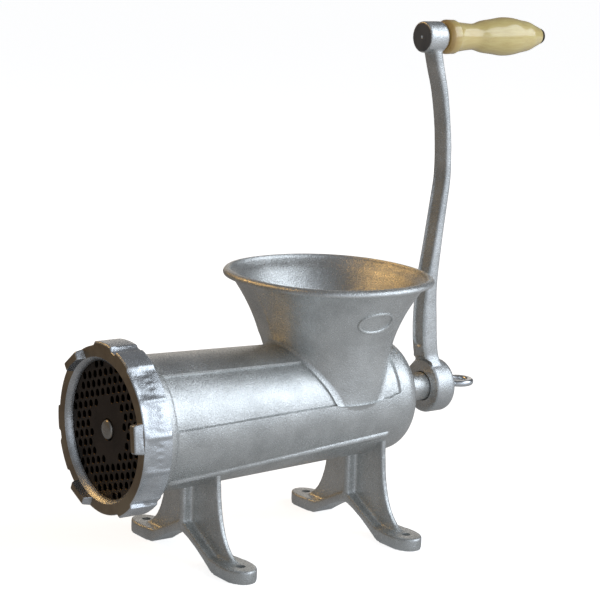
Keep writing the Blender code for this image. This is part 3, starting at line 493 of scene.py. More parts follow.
# The turned outside, then its sunk side panels and the two long beads are pressed in and out
def makeBarrel():
    size = housing
    collarStart, threadRadius, collarRadius = size["collarStart"], size["threadRadius"], size["collarRadius"]
    panelEnd, barrelLength, domeLength = size["panelEnd"], size["barrelLength"], size["domeLength"]
    collarEnd = collarStart + size["collarLength"]
    profile = [(0, 0), (0, threadRadius - 0.0006), (0.0006, threadRadius),
               (collarStart, threadRadius), (collarStart, collarRadius - 0.0004),
               (collarStart + 0.0004, collarRadius), (collarEnd - 0.0008, collarRadius),
               (collarEnd, collarRadius - 0.0006)]
    slopeEnd = collarEnd + size["slope"]
    for k in range(1, 7):
        t = k / 6
        rise = collarRadius - 0.0006 - size["frontRadius"]
        profile.append((collarEnd + size["slope"] * t, size["frontRadius"] + rise * (1 - t) ** 2))
    s = slopeEnd + 0.004
    while s < panelEnd - 0.010:
        profile.append((s, barrelRadius(s)))
        s += 0.0065
    for s in (0.1965, 0.1975, 0.1985, 0.1995, 0.2005, 0.2015, 0.2025, 0.2035, 0.2043, 0.2049, 0.2054,
              0.2060, 0.2065, 0.2070, 0.2076,
              0.2084, 0.2094, 0.2104, 0.2114, 0.2124):
        profile.append((s, barrelRadius(s)))
    for k in range(1, 17):
        angle = k / 16 * acos(size["bossRadius"] / size["rearRadius"])
        profile.append((barrelLength + domeLength * sin(angle), size["rearRadius"] * cos(angle)))
    profile.append((barrelLength + domeLength, size["bossRadius"] - 0.0002))
    profile.append((barrelLength + domeLength, 0))
    bm = turned([(mouthY + s, r) for s, r in profile], size["steps"])
    for v in bm.verts:
        s = v.co.y - mouthY
        radius = hypot(v.co.x, v.co.z - axisZ)
        if radius < 0.012 or s < collarStart + size["collarLength"] + 0.0001:
            continue
        side = 1 if v.co.x >= 0 else -1
        angle = degrees(atan2(v.co.z - axisZ, abs(v.co.x)))
        # the grid leans so that its lines follow the panel's edge and the bead
        low = panelBottom(s)
        bead = beadLine(s)
        lean = (low - 8.25) * (1 - smooth(4, 22, abs(angle - 8.25)))
        lean += (bead + 37.5) * (1 - smooth(6, 38, abs(angle + 37.5)))
        depth = 0
        if s < panelEnd + 0.0005:
            inside = smooth(8.25, 9.75, angle) * (1 - smooth(size["panelTop"] - 0.75, size["panelTop"],
                                                             angle))
            depth = size["panelDepth"] * inside * (1 - smooth(panelEnd - 0.0016, panelEnd, s))
        across = abs(angle + 37.5) * radians(1) * radius / size["beadHalfWidth"]
        reach = 1 - smooth(size["beadEnd"] - 0.004, size["beadEnd"], s)
        if across < 1:
            reach *= smooth(slopeEnd - 0.001, slopeEnd + 0.001, s)
            depth -= size["beadHeight"] * cos(across * pi / 2) ** 0.8 * reach
        turn = radians(angle + lean)
        radius -= depth
        v.co.x = side * radius * cos(turn)
        v.co.z = axisZ + radius * sin(turn)
    return bm


hopper = {
    "y": mouthY + 0.1691, "top": housingHigh.z, "flareFrom": 0.1092, "rimX": 0.0760, "rimY": 0.0680,
    "throatX": 0.0436, "throatY": 0.0400, "power": 2.1, "ovalPower": 2.15, "wall": 0.0042,
    "bead": 0.0016, "beadHeight": 0.0052, "fillet": 0.0022, "ridge": 0.0006,
}


oval = {"turn": 0.0, "height": 0.1590, "halfTurn": 14.0, "halfHeight": 0.0068, "bead": 0.0011, "steps": 72}


# A point of the raised oval's line, on the hopper's outside
def ovalOnHopper(turn):
    z = oval["height"] + oval["halfHeight"] * sin(turn)
    angle = radians(oval["turn"] + oval["halfTurn"] * cos(turn))
    return ovalPoint(*halves(z), angle, z)


# Directions round the hopper, closer together where the parting ridge stands
def hopperAngles():
    angles = [360 * k / 120 for k in range(120)]
    for middle in (90, 270):
        angles += [middle + step for step in (-1.6, -1.0, -0.5, 0.5, 1.0, 1.6)]
    return [radians(a) for a in sorted(angles)]


def ovalPoint(halfX, halfY, angle, z, out=0):
    c, s = cos(angle), sin(angle)
    power = 2 / hopper["ovalPower"]
    x = halfX * abs(c) ** power * (1 if c > 0 else -1)
    y = halfY * abs(s) ** power * (1 if s > 0 else -1)
    away = Vector((x / halfX ** 2, y / halfY ** 2, 0)).normalized() * out
    return Vector((x + away.x, hopper["y"] + y + away.y, z))


def flare(z, rim, throat):
    share = min(1, max(0, (z - hopper["flareFrom"]) / (hopper["top"] - hopper["flareFrom"])))
    return throat + (rim - hopper["bead"] - throat) * share ** hopper["power"]


# The hopper's half widths along X and Y at a height
def halves(z, more=0):
    return flare(z, hopper["rimX"], hopper["throatX"]) + more, flare(z, hopper["rimY"],
                                                                     hopper["throatY"]) + more


def hopperRing(z, out=0, ridge=True):
    points = []
    halfX, halfY = halves(z)
    for angle in hopperAngles():
        near = min(abs(degrees(angle) - 90), abs(degrees(angle) - 270))
        rise = hopper["ridge"] * max(0, 1 - near / 1.2) if ridge else 0
        points.append(ovalPoint(halfX, halfY, angle, z, out + rise))
    return points


# Rings that carry the hopper's wall round into the barrel's surface
def filletRings():
    rings = []
    count = 7
    reach = hopper["fillet"]
    columns = []
    for angle in hopperAngles():

        def surface(out):
            p = ovalPoint(hopper["throatX"], hopper["throatY"], angle, 0, out)
            r = barrelRadius(min(p.y - mouthY, housing["barrelLength"]))
            beyond = (p.y - mouthY - housing["barrelLength"]) / housing["domeLength"]
            if beyond > 0:
                r *= sqrt(max(0.05, 1 - beyond * beyond))
            return p, r

        points = []
        for k in range(count):
            t = k / (count - 1)
            out = reach * (1 - cos(t * pi / 2))
            q, r = surface(out)
            if r * r > q.x * q.x:
                skin = axisZ + sqrt(r * r - q.x * q.x)
            else:
                skin = axisZ + 0.004
            drop = (1 - sin(t * pi / 2)) * reach * 1.15
            z = skin + drop if abs(q.x) < 0.030 else max(skin + drop, axisZ + 0.006)
            points.append(Vector((q.x, q.y, z)))
        last = points[-1].copy()
        inward = Vector((last.x, 0, last.z - axisZ)).normalized() * 0.0025
        points.append(last - inward)
        columns.append(points)
    for k in range(count + 1):
        rings.append([column[k] for column in columns])
    return rings


# The outside of the hopper with its rolled lip, its parting ridge and the fillet at its foot
def makeHopper():
    top, lip = hopper["top"], hopper["beadHeight"]
    rings = []
    for z, out in ((top, -0.0016), (top - 0.0003, -0.0004), (top - 0.0010, 0.0006), (top - 0.0018, 0.00125),
                   (top - 0.0028, 0.0016), (top - 0.0036, 0.0015), (top - 0.0043, 0.0011),
                   (top - 0.0049, 0.0005),
                   (top - 0.0056, 0.0001)):
        if z > top - 0.0045:
            halfX, halfY = hopper["rimX"] - hopper["bead"], hopper["rimY"] - hopper["bead"]
        else:
            halfX, halfY = halves(z, 0.0002)
        rings.append([ovalPoint(halfX, halfY, a, z, out) for a in hopperAngles()])
    levels = 16
    start, end = top - lip - 0.0016, 0.1415
    for k in range(levels):
        rings.append(hopperRing(start + (end - start) * k / (levels - 1)))
    rings += filletRings()
    rings.append([Vector((p.x * 0.9, p.y, axisZ - 0.004)) for p in rings[-1]])
    return loft(rings)


# A plain raised oval on the hopper's side, a bead of half-round section
def makeHopperOval():
    size = oval
    rings = []
    for k in range(size["steps"]):
        turn = 2 * pi * k / size["steps"]
        middle = ovalOnHopper(turn)
        along = (ovalOnHopper(turn + 0.01) - middle).normalized()
        outward = Vector((1, 0, -0.55)).normalized()
        across = along.cross(outward).normalized()
        rings.append([middle + size["bead"] * (cos(radians(45 * i)) * across
                                               + sin(radians(45 * i)) * outward) for i in range(8)])
    bm = loft(rings + [rings[0]], False)
    bmesh.ops.remove_doubles(bm, verts=bm.verts, dist=1e-6)
    bmesh.ops.recalc_face_normals(bm, faces=bm.faces)
    return bm


def makeHopperCavity():
    top = hopper["top"]
    rings = [[ovalPoint(hopper["rimX"], hopper["rimY"], a, top + 0.004, -0.0012) for a in hopperAngles()]]
    for z, out in ((top + 0.0001, -0.0022), (top - 0.0006, -0.0029), (top - 0.0016, -0.0034),
                   (top - 0.0030, -0.0040)):
        rings.append([ovalPoint(*halves(top - 0.0030, 0.0016), a, z, out + 0.0004) for a in hopperAngles()])
    levels = 16
    start, end = top - 0.0055, 0.1092
    for k in range(levels):
        rings.append(hopperRing(start + (end - start) * k / (levels - 1), -hopper["wall"], False))
    rings.append(hopperRing(axisZ + housing["wall"], -hopper["wall"], False))
    return loft(rings)


leg = {
    "spanX": 0.1180, "spanY": 0.1365, "frontY": 0.0634, "holeRadius": 0.0031, "pad": 0.0088,
    "padReach": 0.0122,
    "padHalf": 0.0111, "flangeHalf": 0.0095, "flange": 0.0066, "archHeight": 0.0177, "archHalf": 0.0370,
    "web": 0.0044, "rib": 0.0060, "topHalf": 0.0312, "voxel": 0.00105,
}


def mirrored(points):
    return points + [(-x, z) for x, z in reversed(points) if x > 1e-9]


# Web, flange, middle rib and two pads of one pair of legs
def legParts(y):
    pad, archHalf, archHeight = leg["pad"], leg["archHalf"], leg["archHeight"]
    flangeHalf, padReach, padHalf = leg["flangeHalf"], leg["padReach"], leg["padHalf"]
    footX = leg["spanX"] / 2
    top = axisZ - 0.6 * housing["rearRadius"]
    web = []
    for k in range(17):
        share = k / 16
        drop = 1 - (1 - share) ** 2
        web.append((leg["topHalf"] + (footX - 0.0045 - leg["topHalf"]) * share ** 2.2,
                    top + (pad - top) * (0.35 * share + 0.65 * drop)))
    web += [(footX - 0.0045, pad / 2), (archHalf, pad / 2),
            (0, archHeight + leg["flange"] / 2)]
    yield slab([(x, 0, z) for x, z in mirrored(web)], (0, y - leg["web"] / 2, 0), (0, leg["web"], 0))
    under = [(archHalf * k / 14, archHeight * (1 - (k / 14) ** 1.35)) for k in range(15)]
    strap = under + [(footX, 0), (footX, pad), (archHalf - 0.002, pad),
                     (0, archHeight + leg["flange"] + 0.0015)]
    outline = [(0, archHeight)] + strap[1:] + [(-x, z) for x, z in reversed(strap[1:-1])]
    yield slab([(x, 0, z) for x, z in outline], (0, y - flangeHalf, 0), (0, 2 * flangeHalf, 0))
    low = archHeight + leg["flange"] / 2
    half = leg["rib"] / 2
    yield slab([(-half, 0, low), (half, 0, low), (half, 0, top), (-half, 0, top)], (0, y - flangeHalf, 0),
               (0, 2 * flangeHalf, 0))
    # thin parting ridge down the rib
    for side in (-1, 1):
        yield slab([(-0.0005, 0, low), (0.0005, 0, low), (0.0005, 0, top), (-0.0005, 0, top)],
                   (0, y + side * flangeHalf - 0.0008, 0), (0, 0.0016, 0))
    for side in (-1, 1):
        middle = footX - padReach / 3
        points = [(archHalf, y - flangeHalf), (middle - padReach / 2, y - padHalf)]
        for k in range(17):
            angle = radians(-90 + 11.25 * k)
            points.append((middle + padReach * 4 / 3 * cos(angle), y + padHalf * sin(angle)))
        points += [(middle - padReach / 2, y + padHalf), (archHalf, y + flangeHalf)]
        yield slab([(side * px, py, 0) for px, py in points], (0, 0, 0), (0, 0, pad))


def makeLegs(y):
    bm = cast(list(legParts(y)), leg["voxel"], 3)
    for v in bm.verts:
        v.co.z = max(v.co.z, 0)
        if v.co.z < 0.0004:
            v.co.z = 0
    return bm


def makeHousing():
    frontY = leg["frontY"]
    bm = makeBarrel()
    legs = [makeLegs(mouthY + frontY), makeLegs(mouthY + frontY + leg["spanY"])]
    bm = combined(bm, [makeHopper(), makeHopperOval()] + legs, "UNION")
    size = housing
    seatRadius, seatEnd, boreEnd = size["seatRadius"], size["seatEnd"], size["boreEnd"]
    bore = [(-0.01, 0), (-0.01, seatRadius + 0.0004), (0.0004, seatRadius), (seatEnd, seatRadius),
            (seatEnd, barrelRadius(seatEnd) - size["wall"]),
            (boreEnd, barrelRadius(boreEnd) - size["wall"]), (boreEnd, 0)]
    cutters = [turned([(mouthY + s, r) for s, r in bore], 96),
               rod(mouthY + boreEnd - 0.01, domeTipY + 0.01, size["bushingHole"], 96),
               makeHopperCavity()]
    for side in (-1, 1):
        for y in (frontY, frontY + leg["spanY"]):
            drill = bmesh.new()
            bmesh.ops.create_cone(drill, cap_ends=True, segments=32, radius1=leg["holeRadius"],
                                  radius2=leg["holeRadius"], depth=0.05,
                                  matrix=Matrix.Translation((side * leg["spanX"] / 2, mouthY + y, 0)))
            cutters.append(drill)
    return combined(bm, cutters, "DIFFERENCE")


addPiece("cast_housing", makeHousing(), [tinnedIron], "housing", ["housing"], 42)


# Ring nut
ring = {
    "face": plateLow.y - meshGap - 0.0050, "length": 0.0200, "openingRadius": 0.0450, "frontRadius": 0.0549,
    "rearRadius": 0.0562, "landRise": 0.0013, "lands": 15, "bevel": 0.0026,
    "lugTurn": 7.0, "lugWidth": 0.0210, "lugRise": 0.0060, "lugDepth": 0.0080, "lugRoot": 0.0030,
    "threadRadius": 0.0534, "steps": 360,
    "turn": 7.5,             # where the first ridge stands, in degrees
    "blockRadius": 0.0576, "blocks": ((64, 8.5), (184, 8.5), (-56, 9.5), (90, 11), (210, 11)),
}


# How far the ring's side stands out: a ridge between every two lands, scooped lands and a few full blocks
def ringRise(angle, t):
    size = ring
    pitch = 360 / size["lands"]
    along = ((angle - size["turn"]) / pitch) % 1
    toRidge = min(along, 1 - along) * pitch
    rise = 0.0007 * (1 - smooth(0.7, 2.2, toRidge)) * smooth(0.0, 0.2, t)
    scoop = smooth(2.2, 5.0, toRidge) * (1 - smooth(0.45, 0.70, t + 0.08 * sin(along * 2 * pi + angle)))
    rise -= 0.0006 * scoop * smooth(0.02, 0.2, t)
    return min(rise, size["landRise"])


# How much of a full block stands at an angle, from 0 to 1
def ringBlock(angle):
    return max(1 - smooth(half - 0.8, half + 0.8, abs((angle - middle + 180) % 360 - 180)) for middle,
               half in ring["blocks"])


# A turned blank whose side is shaped into lands, with three cast lugs on its face
def makeRing():
    size = ring
    length, frontRadius, rearRadius = size["length"], size["frontRadius"], size["rearRadius"]
    openingRadius, threadRadius = size["openingRadius"], size["threadRadius"]
    front, back = size["face"], size["face"] + length
    profile = [(front, 0), (front, frontRadius - 0.0012), (front + 0.00015, frontRadius - 0.0004),
               (front + 0.0006, frontRadius)]
    for k in range(1, 19):
        t = k / 19
        profile.append((front + t * length, frontRadius + (rearRadius - frontRadius) * sin(t * pi / 2)))
    profile += [(back - 0.0005, rearRadius), (back - 0.0001, rearRadius - 0.0005),
                (back, rearRadius - 0.0013),
                (back, 0)]
    bm = turned(profile, size["steps"])
    for v in bm.verts:
        radius = hypot(v.co.x, v.co.z - axisZ)
        if radius < frontRadius - 0.0015:
            continue
        angle = atan2(v.co.z - axisZ, v.co.x)
        t = (v.co.y - front) / length
        rise = ringRise(degrees(angle), t)
        if t < 0.001:
            rise *= 0.4
        if t > 0.96:
            rise *= 0.6
        block = ringBlock(degrees(angle)) * smooth(-0.05, 0.05, t) * (1 - 0.25 * smooth(0.93, 1.0, t))
        radius = (radius + rise) * (1 - block) + max(radius, size["blockRadius"]) * block
        v.co.x, v.co.z = radius * cos(angle), axisZ + radius * sin(angle)
    lugs = []
    for k in range(3):
        inner = openingRadius + 0.0012
        outer = inner + size["lugDepth"]
        half = size["lugWidth"] / 2
        lug = cuboid((inner, front - size["lugRise"], -half), (outer, front + size["lugRoot"], half))
        for v in lug.verts:
            if v.co.y < front:
                v.co.z *= 0.86
                v.co.x += 0.0006 if v.co.x < (inner + outer) / 2 else -0.0012
        bmesh.ops.bevel(lug, geom=lug.edges[:], offset=0.0014, segments=4, profile=0.5, affect="EDGES",
                        material=-1)
        bmesh.ops.rotate(lug, cent=(0, 0, 0), matrix=Matrix.Rotation(-radians(size["lugTurn"] + 120 * k), 3,
                                                                     "Y"), verts=lug.verts)
        bmesh.ops.translate(lug, vec=(0, 0, axisZ), verts=lug.verts)
        lugs.append(lug)
    bm = combined(bm, lugs, "UNION")
    lip = plateLow.y - meshGap
    bore = [(front - 0.01, 0), (front - 0.01, openingRadius + size["bevel"] + 0.0004),
            (front - 0.0001, openingRadius + size["bevel"] + 0.0002),
            (front + 0.0006, openingRadius + size["bevel"] - 0.0006),
            (front + 0.0026, openingRadius + 0.0002),
            (lip, openingRadius), (lip, threadRadius - 0.0006)]
    s = lip + 0.0008
    while s < back - 0.002:      # coarse square thread
        bore += [(s, threadRadius - 0.0001), (s + 0.0014, threadRadius - 0.0001),
                 (s + 0.0018, threadRadius + 0.0012),
                 (s + 0.0032, threadRadius + 0.0012)]
        s += 0.0036
    bore += [(back - 0.001, threadRadius), (back + 0.01, threadRadius + 0.004), (back + 0.01, 0)]
    bm = combined(bm, [turned([(y, r) for y, r in bore], 192)], "DIFFERENCE")
    bm.normal_update()
    for face in bm.faces:
        if face.normal.y < -0.93 and face.calc_center_median().y < front + 0.0003:
            face.material_index = 1
    return bm


addPiece("ring_nut_cast", makeRing(), [tinnedRing, turnedIronPaintedWarmth], "ring", ["ring_nut"], 38)

# Grinding plate, stud and knife
plate = {"radius": 0.0495, "holeRadius": 0.0024, "pitch": 0.0071, "turn": 17, "blank": 0.0190,
         "rim": 0.0052,
         "keyRadius": 0.0031, "keyDepth": 0.0038, "studHole": 0.00716}


def plateHoles():
    centres = []
    notch = Vector((0, -plate["radius"]))
    for row in range(-8, 9):
        for column in range(-9, 10):
            spot = Vector(((column + (row % 2) / 2) * plate["pitch"], row * plate["pitch"] * sqrt(3) / 2))
            centre = Matrix.Rotation(radians(plate["turn"]), 2) @ spot
            clear = (centre - notch).length > 0.0032 + 3 * plate["holeRadius"]
            if plate["blank"] < centre.length < plate["radius"] - plate["rim"] and clear:
                centres.append(centre)
    return centres


# A drill's shape across the plate, opened a little at both faces
def countersunk(x, z, radius, steps, lip=0.00035):
    low, high = plateLow.y, plateHigh.y
    bm = turned([(low - 0.001, 0), (low - 0.001, radius + lip + 0.001), (low + lip, radius),
                 (high - lip, radius),
                 (high + 0.001, radius + lip + 0.001), (high + 0.001, 0)], steps, 0)
    bmesh.ops.translate(bm, vec=(x, 0, axisZ + z), verts=bm.verts)
    return bm


def makePlate():
    radius = plate["radius"]
    low, high = plateLow.y, plateHigh.y
    bevel = 0.0006
    bm = turned([(low, 0), (low, radius - bevel), (low + bevel, radius), (high - bevel, radius),
                 (high, radius - bevel), (high, 0)], 192)
    drills = bmesh.new()
    for centre in plateHoles():
        pourInto(drills, countersunk(centre.x, centre.y, plate["holeRadius"], 20))
    notchTop = axisZ - radius + plate["keyDepth"]
    notch = cuboid((-plate["keyRadius"], low - 0.015, notchTop - 0.02),
                   (plate["keyRadius"], low + 0.015, notchTop))
    bm = combined(bm, [drills], "DIFFERENCE")
    return combined(bm, [countersunk(0, 0, plate["studHole"], 64), notch], "DIFFERENCE")


addPiece("drilled_plate", makePlate(), [oiledSteel], "plate", ["grinding_plate"], 30)


stud = {"noseRadius": 0.0065, "neck": 0.0059, "square": 0.0124, "squareEdge": 0.0008, "core": 0.0066,
        "thread": 0.0075, "threadPitch": 0.0016}


# Domed nose, shank, a square with broken corners for the knife, and a screwed tail
def makeStud():
    nose, radius = studLow.y, stud["noseRadius"]
    neck, core, thread = stud["neck"], stud["core"], stud["thread"]
    tail = studHigh.y
    profile = [(nose, 0), (nose + 0.00008, 0.0022), (nose + 0.00035, 0.0042), (nose + 0.0008, 0.0054),
               (nose + 0.0014, 0.0062),
               (nose + 0.0020, radius), (plateHigh.y, radius), (plateHigh.y, neck),
               (knifeLow.y + 0.002, neck),
               (knifeLow.y + 0.002, 0)]
    square = squareBar(knifeLow.y + meshGap, knifeHigh.y + 2 * meshGap, stud["square"])
    along = [e for e in square.edges if abs((e.verts[0].co - e.verts[1].co).y) > 0.001]
    bmesh.ops.bevel(square, geom=along, offset=stud["squareEdge"], segments=2, profile=0.5, affect="EDGES",
                    material=-1)
    screwed = [(knifeHigh.y + meshGap, 0), (knifeHigh.y + meshGap, core)]
    s = knifeHigh.y + 0.0008
    while s < tail - 0.0014:
        screwed += [(s, core), (s + 0.0007, thread), (s + 0.0009, thread)]
        s += stud["threadPitch"]
    screwed += [(tail - 0.0008, core), (tail, core - 0.0008), (tail, 0)]
    return combined(turned(profile, 64), [square, turned(screwed, 48)], "UNION")


addPiece("stud", makeStud(), [brightSteel], "auger", ["auger_stud"], 35)

# Auger: left-hand flight run round a core, rear journal and drive square
screw = {"core": 0.0165, "tipGap": 0.0016, "pitch": 0.0460, "flight": 0.0050, "back": 0.0215,
         "shaft": 0.0100,
         "square": 0.01358, "perTurn": 96, "socketStart": armHigh.y - hubLength + hubCounterbore,
         "washerRoom": 0.0036, "studHole": 0.0078, "studDepth": 0.0220, "screwHole": 0.0043,
         "screwDepth": 0.0140}


def makeAuger():
    size = screw
    pitch, perTurn, back = size["pitch"], size["perTurn"], size["back"]
    shaft = size["shaft"]
    front, rear = augerLow.y, mouthY + housing["boreEnd"] - size["washerRoom"]
    base = pitch - 3 * size["flight"]
    offsets = [(0, 0), (base - 0.003, 0), (base, 0.07), (base + 0.0016, 0.3), (base + 0.0030, 0.75),
               (base + 0.0038, 0.96), (base + 0.0044, 1),
               (base + 0.0092, 1), (base + 0.0098, 0.96), (base + 0.0108, 0.6), (base + 0.0124, 0.22),
               (base + 0.0145, 0.04),
               (pitch, 0)]
    bm = bmesh.new()
    verts = []
    for offset, high in offsets[:-1]:
        verts.append(bm.verts.new((0, front - pitch + offset, high)))
    verts.append(bm.verts.new((0, front, 0)))
    edges = [bm.edges.new(pair) for pair in zip(verts, verts[1:])]
    turns = (rear - front) / pitch + 2
    steps = int(turns * perTurn)
    # swept as a flat strip first, then wound round the core
    bmesh.ops.spin(bm, geom=verts + edges, cent=(0, 0, 0), axis=(0, 1, 0), angle=0, steps=steps,
                   dvec=(0.001, pitch / perTurn, 0))
    for v in bm.verts:
        angle = -2 * pi * (v.co.x / 0.001) / perTurn
        s = min(max(v.co.y - mouthY, housing["seatEnd"]), housing["boreEnd"])
        tip = barrelRadius(s) - housing["wall"] - size["tipGap"]
        radius = size["core"] + (tip - size["core"]) * v.co.z
        v.co = Vector((radius * sin(angle), v.co.y, axisZ + radius * cos(angle)))
    bmesh.ops.remove_doubles(bm, verts=bm.verts, dist=2e-5)
    for y, away in ((front, -1), (rear - 0.004, 1)):
        everything = bm.verts[:] + bm.edges[:] + bm.faces[:]
        bmesh.ops.bisect_plane(bm, geom=everything, plane_co=(0, y, 0), plane_no=(0, away, 0),
                               clear_outer=True)
        rim = [e for e in bm.edges if e.is_boundary and all(abs(v.co.y - y) < 1e-6 for v in e.verts)]
        bmesh.ops.triangle_fill(bm, edges=rim, use_beauty=True)
    bmesh.ops.recalc_face_normals(bm, faces=bm.faces)
    socket = size["socketStart"]
    journal = [(rear - 0.012, 0), (rear - 0.012, size["core"] * 0.8), (rear - 0.008, back - 0.001),
               (rear - 0.007, back),
               (rear - 0.0005, back), (rear, back - 0.0005), (rear, shaft), (socket - 0.0010, shaft),
               (socket - 0.0003, shaft - 0.0007), (socket - 0.0003, 0)]
    square = squareBar(socket - 0.004, augerHigh.y, size["square"])
    bmesh.ops.bevel(square, geom=square.edges[:], offset=0.0007, segments=2, profile=0.5, affect="EDGES",
                    material=-1)
    bm = combined(bm, [turned(journal, 96), square], "UNION")
    holes = [rod(front - 0.01, front + size["studDepth"], size["studHole"], 48),
             rod(augerHigh.y - size["screwDepth"], augerHigh.y + 0.01, size["screwHole"], 32)]
    return combined(bm, holes, "DIFFERENCE")


addPiece("feed_screw", makeAuger(), [tinnedIron], "auger", ["auger"], 40)

# Crank arm
arm = {
    "hubRadius": 0.0192, "hubFront": armHigh.y - hubLength, "hubRounding": 0.0048, "bossRadius": 0.0109,
    "bossLength": 0.0180, "pegDepth": 0.0130, "endWall": 0.0030,
    "widthLow": 0.0156, "widthHigh": 0.0146, "grooveWidth": 0.0104, "grooveDepth": 0.0017,
    "grooveStart": 0.0292, "grooveEnd": 0.176,
    "counterbore": 0.0107, "socket": 0.01418, "screwHole": 0.0043, "pegHole": 0.0043, "voxel": 0.00085,
    "throw": pegZ - axisZ,
    # share of the throw, then the middle behind the hub's front face and the thickness
    "line": ((0.024, 0.0059, 0.0130), (0.048, 0.0054, 0.0130), (0.120, 0.0019, 0.0135),
             (0.201, 0.0005, 0.0130), (0.297, 0.0006, 0.0105),
             (0.417, 0.0043, 0.0083), (0.538, 0.0084, 0.0071), (0.606, 0.0104, 0.0062),
             (0.678, 0.0102, 0.0058), (0.758, 0.0084, 0.0052),
             (0.846, 0.0048, 0.0060), (0.911, 0.0004, 0.0071), (0.967, -0.0031, 0.0080)),
}


def armSection(share, middle, thickness):
    height = share * arm["throw"]
    half = (arm["widthLow"] + share * (arm["widthHigh"] - arm["widthLow"])) / 2
    front = arm["hubFront"] + middle - thickness / 2
    # the hub end widens into the hub
    half += 0.0035 * (1 - smooth(0.012, 0.024, height))
    points = []
    rounding = min(thickness * 0.42, 0.0032)
    for cornerX, cornerY, start in ((half - rounding, front + thickness - rounding, 0),
                                    (-half + rounding, front + thickness - rounding, 90)):
        for k in range(6):
            angle = radians(start + 18 * k)
            points.append((cornerX + rounding * cos(angle), cornerY + rounding * sin(angle)))
    edge = min(thickness * 0.36, 0.0030)
    for cornerX, start in ((-half + edge, 180), (half - edge, 270)):
        for k in range(4):
            angle = radians(start + 30 * k)
            points.append((cornerX + edge * cos(angle), front + edge + edge * sin(angle)))
    return [Vector((x, y, axisZ + height)) for x, y in points]


# Hub, arm and boss run together as a casting, then bored and faced
def makeArm():
    size = arm
    hubRadius, bossRadius, counterbore = size["hubRadius"], size["bossRadius"], size["counterbore"]
    front, back = size["hubFront"], size["hubFront"] + hubLength
    rounding = size["hubRounding"]
    profile = [(front, 0), (front, hubRadius - 0.0010), (front + 0.0010, hubRadius)]
    for k in range(10):
        angle = radians(90 - 10 * k)
        profile.append((back - rounding + rounding * cos(angle),
                        hubRadius - rounding + rounding * sin(angle)))
    profile += [(back, 0)]
    hub = turned(profile, 128)
    knots = through(size["line"], 6)
    bar = loft([armSection(*k) for k in knots])
    low, high = armLow.y, armLow.y + size["bossLength"]
    boss = turned([(low, 0), (low, bossRadius - 0.0006), (low + 0.0006, bossRadius),
                   (high - 0.0030, bossRadius), (high - 0.0008, bossRadius - 0.0014),
                   (high, bossRadius - 0.0024),
                   (high, 0)], 96, pegZ)
    bm = cast([hub, bar, boss], size["voxel"], 3)
    lowZ, highZ, half = size["grooveStart"], size["grooveEnd"], size["grooveWidth"] / 2
    for v in bm.verts:
        h = v.co.z - axisZ
        if lowZ - 0.004 < h < highZ + 0.01 and abs(v.co.x) < half + 0.001:
            middle = min(knots, key=lambda k: abs(k[0] * size["throw"] - h))
            if v.co.y < front + middle[1] - middle[2] * 0.25:
                ends = hypot(v.co.x, min(0, h - lowZ - half))
                inside = 1 - smooth(half - 0.0011, half + 0.0002, ends)
                v.co.y += size["grooveDepth"] * inside * (1 - smooth(highZ - 0.045, highZ, h))
    for v in bm.verts:
        v.co.y = max(v.co.y, low) if v.co.z > pegZ - 0.02 else v.co.y
        v.co.z = min(v.co.z, pegZ + bossRadius)
    rim = hubRadius
    # the hub's face is turned, and its rim stands clear of the arm
    facing = [(front - 0.03, 0), (front - 0.03, rim + 0.0042), (front - 0.003, rim + 0.0036),
              (front + 0.0004, rim + 0.0022),
              (front + 0.0014, rim + 0.0012), (front + 0.0014, rim + 0.0002), (front + 0.0008, rim),
              (front, rim - 0.0007),
              (front, 0)]
    bore = [turned(facing, 128),
            turned([(front - 0.01, 0), (front - 0.01, counterbore + 0.0004), (front + 0.0003, counterbore),
                    (front + hubCounterbore, counterbore), (front + hubCounterbore, 0)], 96),
            rod(back - 0.01, back + 0.01, size["screwHole"], 48),
            rod(high - size["pegDepth"], high + 0.01, size["pegHole"], 48, pegZ),
            turned([(low - 0.01, 0), (low - 0.01, 0.0012), (low + 0.0001, 0.0012), (low + 0.0010, 0.0003),
                    (low + 0.0010, 0)], 24, pegZ)]
    socket = squareBar(front + size["endWall"], back - size["endWall"], size["socket"])
    bm = combined(bm, bore + [socket], "DIFFERENCE")
    bm.normal_update()
    for face in bm.faces:
        if face.normal.y < -0.97 and face.calc_center_median().y < low + 0.0011:
            face.material_index = 1
    return bm


addPiece("crank_casting", makeArm(), [tinnedCrank, filedIron], "crank", ["crank_arm"], 42)

# Thumb screw
thumb = {"radius": 0.0040, "shoulder": 0.0065, "shoulderLength": 0.0020, "eye": 0.0090, "bar": 0.0026,
         "neck": 0.0075}


